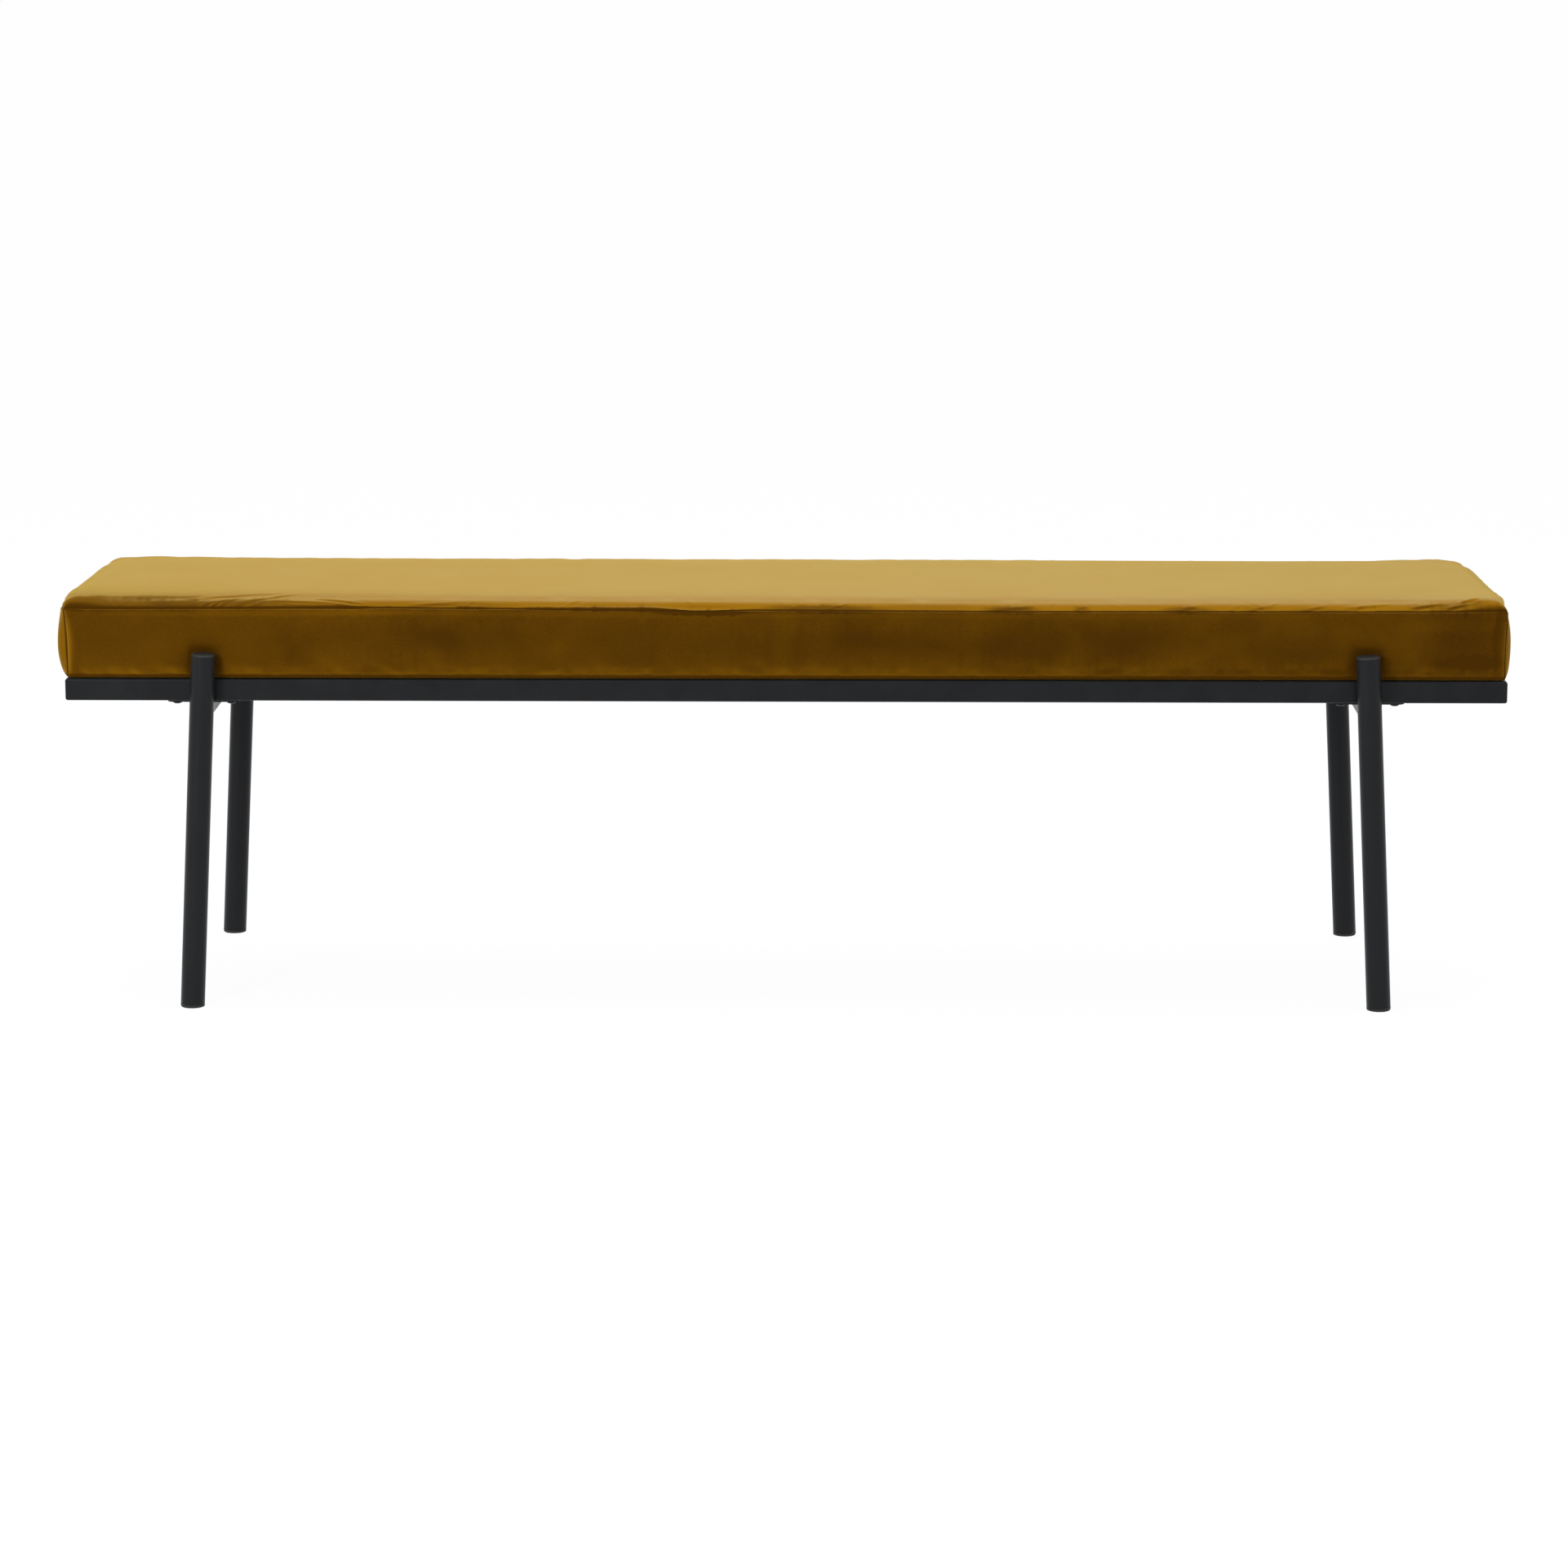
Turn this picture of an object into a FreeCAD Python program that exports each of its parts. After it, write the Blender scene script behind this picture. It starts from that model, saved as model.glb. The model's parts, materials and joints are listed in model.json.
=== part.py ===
import FreeCAD, Part
import os
import Sketcher

# Upholstered bench on a square tube frame with round tube legs
# Millimetres. X runs along the bench, Y from front to back, Z up from the floor.
# The origin is on the floor, under the middle of the seat.

DIMENSIONS = [
    # Frame
    ("frameLength", 1600, "frame, end to end"),
    ("frameDepth", 350, "frame, front to back"),
    ("railUnderside", 345, "floor to the underside of the rails"),
    ("railSize", 25, "square tube of the frame, side"),
    ("railWall", 1.5, "square tube of the frame, wall"),
    ("railCorner", 3, "square tube of the frame, corner radius"),
    ("crossRailPitch", 400, "from one cross rail to the next"),
    # Legs
    ("legInset", 153.5, "end of the frame to a leg's axis, at the rails' underside"),
    ("legSplay", 3, "lean of a leg along the bench, degrees"),
    ("legDiameter", 27, "leg tube, outside"),
    ("legWall", 1.5, "leg tube, wall"),
    ("legRailGap", 0.5, "between a leg and the face of its rail"),
    ("legRise", 30, "leg top with its cap, above the rails"),
    ("insertGap", 0.1, "between the webs of a plastic insert and the tube they are pushed into"),
    ("insertWeb", 2.5, "thickness of the crossed webs of a plastic insert"),
    ("insertDepth", 16, "how far an insert reaches into its tube"),
    ("capRim", 2.4, "leg cap, thickness of its rim"),
    ("capBevel", 1.2, "leg cap, bevel of its rim"),
    ("glideHeight", 3.5, "foot glide, below the end of the tube"),
    # Crossbar between a front and a rear leg, and its mounting plates
    ("barWidth", 20, "crossbar tube, across"),
    ("barHeight", 15, "crossbar tube, upright"),
    ("barWall", 1.5, "crossbar tube, wall"),
    ("barCorner", 2.5, "crossbar tube, corner radius"),
    ("weldGap", 0.1, "between a crossbar's shaped end and the leg it is welded to"),
    ("plateLength", 80, "mounting plate, along the rail"),
    ("plateWidth", 16, "mounting plate, across the rail"),
    ("plateThickness", 2, "mounting plate, thickness"),
    ("plateCorner", 4, "mounting plate, cut off its corners"),
    # Fasteners
    ("boltSpacing", 60, "between the two bolts of a mounting plate"),
    ("boltDiameter", 6, "all bolts, thread diameter"),
    ("holeGap", 0.3, "between a bolt and the hole it passes through"),
    ("threadGap", 0.05, "between a bolt and its nut, in radius"),
    ("headAcross", 10, "hexagon bolt head, across its flats"),
    ("headHeight", 4, "hexagon bolt head, height"),
    ("legBoltLength", 16, "leg bolt, under its head"),
    ("seatBoltLength", 35, "seat bolt, under its head"),
    ("seatBoltPitch", 200, "between the two seat bolts of a cross rail"),
    ("nutBarrel", 9, "hexagon hole of a rivet nut, across its flats"),
    ("nutBulge", 11.5, "rivet nut, across the bulge that grips the wall"),
    ("nutBulgeHeight", 3, "rivet nut, height of the bulge"),
    ("nutLength", 12, "rivet nut, whole length"),
    ("teeFlange", 19, "T-nut, side of its square flange"),
    ("teeFlangeThickness", 1.2, "T-nut, flange thickness"),
    ("teeBarrel", 7.8, "T-nut, barrel diameter"),
    ("teeLength", 9, "T-nut, barrel length"),
    # Seat
    ("dustThickness", 0.6, "dust cover, thickness"),
    ("dustInset", 12, "dust cover, in from the frame's outer face"),
    ("boardThickness", 12, "seat board, thickness"),
    ("boardInset", 6, "seat board, in from the frame's outer face"),
    ("boardCorner", 8, "seat board, corner radius"),
    ("coverThickness", 1.5, "velvet cover with its lining"),
    ("foamInset", 8, "foam block, in from the frame's outer face"),
    ("foamHeight", 66, "foam block, height"),
    ("foamCorner", 8, "foam block, corner radius"),
    ("softGap", 0.3, "between soft layers, and between a soft part and a hard one"),
    ("hemWidth", 36, "cover folded under the board, in from the frame's outer face"),
    ("sideHeight", 77.4, "bottom of the cover up to the seam round the top"),
    ("crownHeight", 12, "seam up to the top of the crown"),
    ("rollHeight", 9.5, "seam up to the end of the rolled edge"),
    ("rollReach", 13, "rolled edge, how far it leans in over the seat"),
    ("crownReach", 70, "crown, from the rolled edge to its flat middle"),
    ("footTuck", 2.5, "bottom edge of the cover, in from the frame's face at the corners"),
    ("seamTuck", 0.5, "seam round the top, in from the frame's face at the corners"),
    ("footBow", 1, "bottom edge of each panel, bow between the corners"),
    ("endSeamBow", 4.5, "seam at an end, bow between the corners"),
    ("sideSeamBow", 2, "seam at front and back, bow between the corners"),
    ("endRun", 25, "end panels, from a corner to where they run straight"),
    ("sideRun", 90, "front and rear panels, from a corner to where they run straight"),
    ("endBulge", 5.2, "end panels, more bow at half their height"),
    ("sideBulge", 4.5, "front and rear panels, more bow at half their height"),
]
COVER_STEPS = (4, 3)    # up the side, round the rolled edge
WADDING_STEPS = (2, 2)

# Places that several pieces share, worked out from the dimensions
RAIL_TOP = "(Sizes.railUnderside + Sizes.railSize)"
RAIL_Y = "(Sizes.frameDepth / 2 - Sizes.railSize / 2)"
LEG_Y = "(Sizes.frameDepth / 2 + Sizes.legRailGap + Sizes.legDiameter / 2)"
BAR_Z = "(Sizes.railUnderside - Sizes.plateThickness - Sizes.barHeight / 2)"
LEG_X = "(Sizes.frameLength / 2 - Sizes.legInset)"
BAR_X = f"({LEG_X} + (Sizes.plateThickness + Sizes.barHeight / 2) * tan(Sizes.legSplay))"
FOOT_X = f"({LEG_X} + Sizes.railUnderside * tan(Sizes.legSplay))"
LEG_LENGTH = "((Sizes.railUnderside + Sizes.railSize + Sizes.legRise) / cos(Sizes.legSplay))"
TUBE_TOP = f"({LEG_LENGTH} - Sizes.capRim)"
COVER_BASE = f"({RAIL_TOP} + Sizes.dustThickness)"
BOARD_BASE = f"({COVER_BASE} + Sizes.coverThickness)"
BOARD_TOP = f"({BOARD_BASE} + Sizes.boardThickness)"
SEAM_Z = f"({COVER_BASE} + Sizes.sideHeight)"
BOLT_HOLE = "(Sizes.boltDiameter + 2 * Sizes.holeGap)"

CROSS_RAILS = {"left": "-Sizes.crossRailPitch", "centre": "0", "right": "Sizes.crossRailPitch"}
BOLTED_RAILS = ("left", "right")
SIDES = {"front": -1, "rear": 1}
ENDS = {"left": -1, "right": 1}
ENDS_AND_SIDES = ("end", "side")

doc = FreeCAD.newDocument("bench")
sheet = doc.addObject("Spreadsheet::Sheet", "Sizes")
pieces = []


def fillSheet():
    for row, (alias, value, note) in enumerate(DIMENSIONS, start=1):
        sheet.set(f"A{row}", alias)
        sheet.set(f"B{row}", str(value))
        sheet.set(f"C{row}", note)
        sheet.setAlias(f"B{row}", alias)
    doc.recompute()


def number(expression):
    return float(sheet.evalExpression(expression))


# Sketches and features

def newItem(kind, label):
    item = doc.addObject(kind, label)
    item.Label = label
    return item


def newBody(label):
    return newItem("PartDesign::Body", label)


def newPiece(label):
    body = newBody(label)
    pieces.append(body)
    return body


def newSketch(body, name, role="XY_Plane", lift=None):
    sketch = body.newObject("Sketcher::SketchObject", name)
    plane = next(f for f in body.Origin.OriginFeatures if f.Role == role)
    sketch.AttachmentSupport = (plane, [""])
    sketch.MapMode = "FlatFace"
    if lift:
        sketch.setExpression("AttachmentOffset.Base.z", lift)
    return sketch


def bound(sketch, kind, first, expression):
    value = number(expression)
    index = sketch.addConstraint(Sketcher.Constraint(kind, *first, value))
    sketch.setExpression(f"Constraints[{index}]", expression)


def fixPoint(sketch, geometry, position, x, y):
    for kind, value, axis in (("DistanceX", x, -2), ("DistanceY", y, -1)):
        if value == "0":
            sketch.addConstraint(Sketcher.Constraint("PointOnObject", geometry, position, axis))
        else:
            bound(sketch, kind, (-1, 1, geometry, position), value)


def addCircle(sketch, diameter, x="0", y="0"):
    centre = FreeCAD.Vector(number(x), number(y), 0)
    circle = Part.Circle(centre, FreeCAD.Vector(0, 0, 1), number(diameter) / 2)
    index = sketch.addGeometry(circle)
    fixPoint(sketch, index, 3, x, y)
    bound(sketch, "Diameter", (index,), diameter)


def addOutline(sketch, points):
    corners = [FreeCAD.Vector(number(x), number(y), 0) for x, y in points]
    first = sketch.GeometryCount
    for start, end in zip(corners, corners[1:] + corners[:1]):
        sketch.addGeometry(Part.LineSegment(start, end))
    for index, (x, y) in enumerate(points):
        following = (index + 1) % len(points)
        sketch.addConstraint(Sketcher.Constraint("Coincident", first + index, 2, first + following, 1))
        fixPoint(sketch, first + index, 1, x, y)


def addRectangle(sketch, width, height, x="0", y="0"):
    addOutline(sketch, [(f"{x} + {across} * {width} / 2", f"{y} + {up} * {height} / 2")
                        for across, up in ((-1, -1), (1, -1), (1, 1), (-1, 1))])


def addHexagon(sketch, flats, x="0", y="0"):
    corner = f"{flats} / 2 / cos(30)"
    addOutline(sketch, [(f"{x} + cos({angle}) * {corner}", f"{y} + sin({angle}) * {corner}")
                        for angle in range(30, 390, 60)])


def addRoundedRectangle(sketch, width, height, radius):
    half = FreeCAD.Vector(number(width) / 2, number(height) / 2, 0)
    r = number(radius)
    first = sketch.GeometryCount
    corners = [(1, -1), (1, 1), (-1, 1), (-1, -1)]
    centres = [FreeCAD.Vector(sx * (half.x - r), sy * (half.y - r), 0) for sx, sy in corners]
    for index, centre in enumerate(centres):
        following = centres[(index + 1) % 4]
        turn = FreeCAD.Rotation(FreeCAD.Vector(0, 0, 1), 90 * index)
        out = turn.multVec(FreeCAD.Vector(r, 0, 0))
        start = FreeCAD.Rotation(FreeCAD.Vector(0, 0, 1), -90).multVec(out)
        middle = FreeCAD.Rotation(FreeCAD.Vector(0, 0, 1), -45).multVec(out)
        sketch.addGeometry(Part.Arc(centre + start, centre + middle, centre + out))
        sketch.addGeometry(Part.LineSegment(centre + out, following + out))
    for index in range(8):
        following = (index + 1) % 8
        sketch.addConstraint(Sketcher.Constraint("Tangent", first + index, 2, first + following, 1))
    for index, kind in ((1, "Vertical"), (3, "Horizontal"), (5, "Vertical"), (7, "Horizontal")):
        sketch.addConstraint(Sketcher.Constraint(kind, first + index))
    for index in (2, 4, 6):
        sketch.addConstraint(Sketcher.Constraint("Equal", first, first + index))
    sketch.addConstraint(Sketcher.Constraint("Symmetric", first, 3, first + 4, 3, -1, 1))
    bound(sketch, "Radius", (first,), radius)
    bound(sketch, "DistanceX", (first + 5, 1, first + 1, 1), width)
    bound(sketch, "DistanceY", (first + 7, 1, first + 3, 1), height)


def addBowedOutline(sketch, length, depth, endBow, sideBow):
    # Sharp corners, a shallow arc to each side of them, and straight stretches between the arcs
    x, y = f"({length}) / 2", f"({depth}) / 2"
    endX, sideY = f"({x} + {endBow})", f"({y} + {sideBow})"
    endY, sideX = f"({y} - Sizes.endRun)", f"({x} - Sizes.sideRun)"
    endRadius, sideRadius = (f"(Sizes.{name}Run ^ 2 + ({bow}) ^ 2) / (2 * ({bow}))"
                             for name, bow in zip(ENDS_AND_SIDES, (endBow, sideBow)))
    points = []
    for turn in (1, -1):
        points += [(f"{turn} * {x}", f"{-turn} * {y}", endRadius),
                   (f"{turn} * {endX}", f"{-turn} * {endY}", None),
                   (f"{turn} * {endX}", f"{turn} * {endY}", endRadius),
                   (f"{turn} * {x}", f"{turn} * {y}", sideRadius),
                   (f"{turn} * {sideX}", f"{turn} * {sideY}", None),
                   (f"{-turn} * {sideX}", f"{turn} * {sideY}", sideRadius)]
    corners = [FreeCAD.Vector(number(x), number(y), 0) for x, y, radius in points]
    for index, (x, y, radius) in enumerate(points):
        start, end = corners[index], corners[(index + 1) % len(corners)]
        if radius:
            sketch.addGeometry(shallowArc(start, end, number(radius)))
        else:
            sketch.addGeometry(Part.LineSegment(start, end))
    for index, (x, y, radius) in enumerate(points):
        following = (index + 1) % len(points)
        sketch.addConstraint(Sketcher.Constraint("Coincident", index, 2, following, 1))
        fixPoint(sketch, index, 1, x, y)
        if radius:
            bound(sketch, "Radius", (index,), radius)


def shallowArc(start, end, radius):
    # Bulges to the right of the way from start to end
    chord = end - start
    right = FreeCAD.Vector(chord.y, -chord.x, 0).normalize()
    bow = radius - (radius ** 2 - chord.Length ** 2 / 4) ** 0.5
    return Part.Arc(start, (start + end) / 2 + right * bow, end)


def addPad(body, sketch, length, symmetric=False, downwards=False):
    pad = body.newObject("PartDesign::Pad", "pad")
    pad.Profile = sketch
    pad.setExpression("Length", length)
    pad.Reversed = downwards
    if symmetric:
        pad.SideType = "Symmetric"


def addCut(body, sketch, length=None, upwards=False):
    cut = body.newObject("PartDesign::Pocket", "cut")
    cut.Profile = sketch
    if length:
        cut.setExpression("Length", length)
    else:
        cut.Type = "ThroughAll"
        cut.SideType = "Symmetric"
    cut.Reversed = upwards


def addTurned(body, sketch):
    turned = body.newObject("PartDesign::Revolution", "turned")
    turned.Profile = sketch
    turned.ReferenceAxis = (sketch, ["V_Axis"])
    turned.Angle = 360


def place(piece, x="0", y="0", z="0", turn=None, axis=(0, 0, 1)):
    if turn:
        rotation = FreeCAD.Rotation(FreeCAD.Vector(*axis), number(turn))
        piece.Placement = FreeCAD.Placement(FreeCAD.Vector(), rotation)
        piece.setExpression("Placement.Rotation.Angle", turn)
    for name, expression in (("x", x), ("y", y), ("z", z)):
        piece.setExpression(f"Placement.Base.{name}", expression)


# Frame of mitred square tube

def addTube(body, role, length, width, height, wall, corner):
    profile = newSketch(body, "profile", role)
    addRoundedRectangle(profile, width, height, corner)
    addRectangle(profile, *(f"({size} - 2 * {wall})" for size in (width, height)))
    addPad(body, profile, length, symmetric=True)


def makeRail(label, length, y, turn, x="0", drilled=False):
    rail = newPiece(label)
    side = "Sizes.railSize"
    addTube(rail, "YZ_Plane", length, side, side, "Sizes.railWall", "Sizes.railCorner")
    for sign in (-1, 1):
        mitre = newSketch(rail, "mitre")
        end = f"{sign} * {length} / 2"
        inner = f"{sign} * ({length} / 2 - {side})"
        addOutline(mitre, [(end, f"-{side} / 2"), (end, f"{side} / 2"), (inner, f"{side} / 2")])
        addCut(rail, mitre)
    if drilled:
        holes = newSketch(rail, "rivetNutHoles", lift=f"-{side} / 2")
        for sign in (-1, 1):
            for step in (-1, 1):
                addHexagon(holes, "Sizes.nutBarrel", f"{sign} * {BAR_X} + {step} * Sizes.boltSpacing / 2")
        addCut(rail, holes, "Sizes.railWall", upwards=True)
    place(rail, x, y, f"Sizes.railUnderside + {side} / 2", turn)


def makeFrame():
    for name, sign in SIDES.items():
        turn = "0" if sign < 0 else "180"
        makeRail(f"{name}_rail", "Sizes.frameLength", f"{sign} * {RAIL_Y}", turn, drilled=True)
    for name, sign in ENDS.items():
        x = f"{sign} * (Sizes.frameLength / 2 - Sizes.railSize / 2)"
        makeRail(f"{name}_end_rail", "Sizes.frameDepth", "0", str(90 * sign), x)


def makeCrossRails():
    for name, x in CROSS_RAILS.items():
        rail = newPiece(f"{name}_cross_rail")
        side = "Sizes.railSize"
        length = "Sizes.frameDepth - 2 * Sizes.railSize"
        addTube(rail, "XZ_Plane", length, side, side, "Sizes.railWall", "Sizes.railCorner")
        if name in BOLTED_RAILS:
            holes = newSketch(rail, "boltHoles")
            for sign in (-1, 1):
                addCircle(holes, BOLT_HOLE, "0", f"{sign} * Sizes.seatBoltPitch / 2")
            addCut(rail, holes)
        place(rail, x, "0", f"Sizes.railUnderside + {side} / 2")


# Legs, with the plastic inserts at their two ends

def placeLeg(piece, end, side):
    place(piece, f"{end} * {FOOT_X}", f"{side} * {LEG_Y}", "0", f"{-end} * Sizes.legSplay", (0, 1, 0))


def makeLeg(label, end, side):
    leg = newPiece(label)
    profile = newSketch(leg, "profile", lift="Sizes.glideHeight")
    addCircle(profile, "Sizes.legDiameter")
    addCircle(profile, "Sizes.legDiameter - 2 * Sizes.legWall")
    addPad(leg, profile, f"{TUBE_TOP} - Sizes.glideHeight")
    placeLeg(leg, end, side)


def addWebs(insert, seat, downwards=False):
    # Two crossed webs, whose corners touch the bore of the tube but for the gap
    webs = newSketch(insert, "webs", lift=seat)
    thick = "Sizes.insertWeb / 2"
    reach = f"sqrt((Sizes.legDiameter / 2 - Sizes.legWall - Sizes.insertGap) ^ 2 - ({thick}) ^ 2)"
    arm = [(reach, f"-{thick}"), (reach, thick), (thick, thick)]
    corners = []
    for quarter in range(4):
        corners += arm
        arm = [(f"-{y}" if not y.startswith("-") else y[1:], x) for x, y in arm]
    addOutline(webs, corners)
    addPad(insert, webs, "Sizes.insertDepth", downwards=downwards)


def capShape():
    cap = newBody("cap")
    rim = newSketch(cap, "rim", "XZ_Plane")
    radius = "Sizes.legDiameter / 2"
    addOutline(rim, [("0", TUBE_TOP), (radius, TUBE_TOP), (radius, f"{LEG_LENGTH} - Sizes.capBevel"),
                     (f"{radius} - Sizes.capBevel", LEG_LENGTH), ("0", LEG_LENGTH)])
    addTurned(cap, rim)
    addWebs(cap, TUBE_TOP, downwards=True)
    return cap


def glideShape():
    # A disc on the webs, cut level with the floor under a leg that leans to the right
    glide = newBody("glide")
    disc = newSketch(glide, "disc", lift="Sizes.glideHeight")
    addCircle(disc, "Sizes.legDiameter")
    addPad(glide, disc, "2 * Sizes.glideHeight", downwards=True)
    addWebs(glide, "Sizes.glideHeight")
    floor = newSketch(glide, "floor", "XZ_Plane")
    reach = "Sizes.legDiameter"
    rise = f"({reach} * tan(Sizes.legSplay))"
    addOutline(floor, [(f"-{reach}", rise), (reach, f"-{rise}"), (reach, f"-{reach}"),
                       (f"-{reach}", f"-{reach}")])
    addCut(glide, floor)
    return glide


def legPlaces():
    # The model stands as for the right end, and is turned about its leg for the left one
    places = []
    for end in (-1, 1):
        for side in (-1, 1):
            foot = FreeCAD.Vector(end * number(FOOT_X), side * number(LEG_Y), 0)
            lean = FreeCAD.Rotation(FreeCAD.Vector(0, 1, 0), -end * number("Sizes.legSplay"))
            turn = FreeCAD.Rotation(FreeCAD.Vector(0, 0, 1), 90 - 90 * end)
            places.append(FreeCAD.Placement(foot, lean * turn))
    return places


def makeGroup(label, model, places):
    # Separate solids, one at each place
    doc.recompute()
    group = newItem("Part::Feature", label)
    copies = []
    for spot in places:
        copy = model.Shape.copy()
        copy.Placement = spot * copy.Placement
        copies.append(copy)
    group.Shape = Part.makeCompound(copies)
    pieces.append(group)


def makeLegs():
    for endName, end in ENDS.items():
        for sideName, side in SIDES.items():
            makeLeg(f"{sideName}_{endName}_leg", end, side)
    makeGroup("leg_caps", capShape(), legPlaces())
    makeGroup("foot_glides", glideShape(), legPlaces())


# Crossbars and mounting plates, which the bolts hold to the rails

def makeCrossbar(label, end):
    bar = newPiece(label)
    sizes = ("Sizes.barWidth", "Sizes.barHeight", "Sizes.barWall", "Sizes.barCorner")
    addTube(bar, "XZ_Plane", f"2 * {LEG_Y}", *sizes)
    shaped = newSketch(bar, "shapedEnds")
    lean = FreeCAD.Rotation(FreeCAD.Vector(0, 1, 0), number(f"{-end} * Sizes.legSplay"))
    shaped.AttachmentOffset = FreeCAD.Placement(FreeCAD.Vector(), lean)
    shaped.setExpression("AttachmentOffset.Rotation.Angle", f"{-end} * Sizes.legSplay")
    for side in (-1, 1):
        addCircle(shaped, "Sizes.legDiameter + 2 * Sizes.weldGap", "0", f"{side} * {LEG_Y}")
    addCut(bar, shaped)
    place(bar, f"{end} * {BAR_X}", "0", BAR_Z)


def makePlate(label, end, side):
    plate = newPiece(label)
    outline = newSketch(plate, "outline", lift="-Sizes.plateThickness")
    long, wide, cut = "Sizes.plateLength / 2", "Sizes.plateWidth / 2", "Sizes.plateCorner"
    addOutline(outline, [
        (f"-{long} + {cut}", f"-{wide}"), (f"{long} - {cut}", f"-{wide}"), (long, f"-{wide} + {cut}"),
        (long, f"{wide} - {cut}"), (f"{long} - {cut}", wide), (f"-{long} + {cut}", wide),
        (f"-{long}", f"{wide} - {cut}"), (f"-{long}", f"-{wide} + {cut}")])
    for sign in (-1, 1):
        addCircle(outline, BOLT_HOLE, f"{sign} * Sizes.boltSpacing / 2")
    addPad(plate, outline, "Sizes.plateThickness")
    place(plate, f"{end} * {BAR_X}", f"{side} * {RAIL_Y}", "Sizes.railUnderside")


def makeLegMounts():
    for endName, end in ENDS.items():
        makeCrossbar(f"{endName}_leg_crossbar", end)
        for sideName, side in SIDES.items():
            makePlate(f"{sideName}_{endName}_mounting_plate", end, side)


# Fasteners: one of each is modelled, then repeated at its places

def addPrism(body, name, addShape, size, base, height):
    outline = newSketch(body, name, lift=base)
    addShape(outline, *size)
    addPad(body, outline, height)


def addBore(body):
    bore = newSketch(body, "bore")
    addCircle(bore, "Sizes.boltDiameter + 2 * Sizes.threadGap")
    addCut(body, bore)


def boltShape(length):
    bolt = newBody("bolt")
    addPrism(bolt, "head", addHexagon, ["Sizes.headAcross"], "-Sizes.headHeight", "Sizes.headHeight")
    addPrism(bolt, "shank", addCircle, ["Sizes.boltDiameter"], "0", length)
    return bolt


def rivetNutShape():
    # A hexagon barrel through the wall of the rail, swollen behind it
    nut = newBody("rivetNut")
    wall = "Sizes.railWall + Sizes.threadGap"
    addPrism(nut, "barrel", addHexagon, ["(Sizes.nutBarrel - 2 * Sizes.threadGap)"], "0", "Sizes.nutLength")
    addPrism(nut, "bulge", addHexagon, ["Sizes.nutBulge"], wall, "Sizes.nutBulgeHeight")
    addBore(nut)
    return nut


def teeNutShape():
    nut = newBody("teeNut")
    under = "-Sizes.teeFlangeThickness"
    flange = ["Sizes.teeFlange", "Sizes.teeFlange"]
    addPrism(nut, "flange", addRectangle, flange, under, "Sizes.teeFlangeThickness")
    addPrism(nut, "barrel", addCircle, ["Sizes.teeBarrel"], f"{under} - Sizes.teeLength", "Sizes.teeLength")
    addBore(nut)
    return nut


def spots(points, z):
    return [FreeCAD.Placement(FreeCAD.Vector(number(x), number(y), number(z)), FreeCAD.Rotation())
            for x, y in points]


def legBoltPoints():
    return [(f"{end} * {BAR_X} + {step} * Sizes.boltSpacing / 2", f"{side} * {RAIL_Y}")
            for end in (-1, 1) for side in (-1, 1) for step in (-1, 1)]


def seatBoltPoints():
    return [(CROSS_RAILS[name], f"{side} * Sizes.seatBoltPitch / 2")
            for name in BOLTED_RAILS for side in (-1, 1)]


def makeFasteners():
    underPlate = "Sizes.railUnderside - Sizes.plateThickness"
    makeGroup("leg_bolts", boltShape("Sizes.legBoltLength"), spots(legBoltPoints(), underPlate))
    makeGroup("rivet_nuts", rivetNutShape(), spots(legBoltPoints(), "Sizes.railUnderside"))
    makeGroup("seat_bolts", boltShape("Sizes.seatBoltLength"), spots(seatBoltPoints(), "Sizes.railUnderside"))
    makeGroup("seat_t_nuts", teeNutShape(), spots(seatBoltPoints(), BOARD_TOP))


# Seat board and dust cover

def makeSheet(label, inset, base, thickness, addHole, hole):
    panel = newPiece(label)
    outline = newSketch(panel, "outline", lift=base)
    sizes = [f"{size} - 2 * {inset}" for size in ("Sizes.frameLength", "Sizes.frameDepth")]
    addRoundedRectangle(outline, *sizes, "Sizes.boardCorner")
    for x, y in seatBoltPoints():
        addHole(outline, hole, x, y)
    addPad(panel, outline, thickness)
    return panel


def makeSeatBoard():
    makeSheet("dust_cover", "Sizes.dustInset", RAIL_TOP, "Sizes.dustThickness", addHexagon, BOLT_HOLE)
    board = makeSheet("seat_board", "Sizes.boardInset", BOARD_BASE, "Sizes.boardThickness", addCircle,
                      "Sizes.teeBarrel + 2 * Sizes.threadGap")
    recess = newSketch(board, "flangeRecesses", lift=BOARD_TOP)
    side = "(Sizes.teeFlange + 2 * Sizes.holeGap)"
    for x, y in seatBoltPoints():
        addRectangle(recess, side, side, x, y)
    addCut(board, recess, "Sizes.teeFlangeThickness")


# Cushion: nested forms, each a loft through level outlines, with a hollow where each leg presses in

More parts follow.
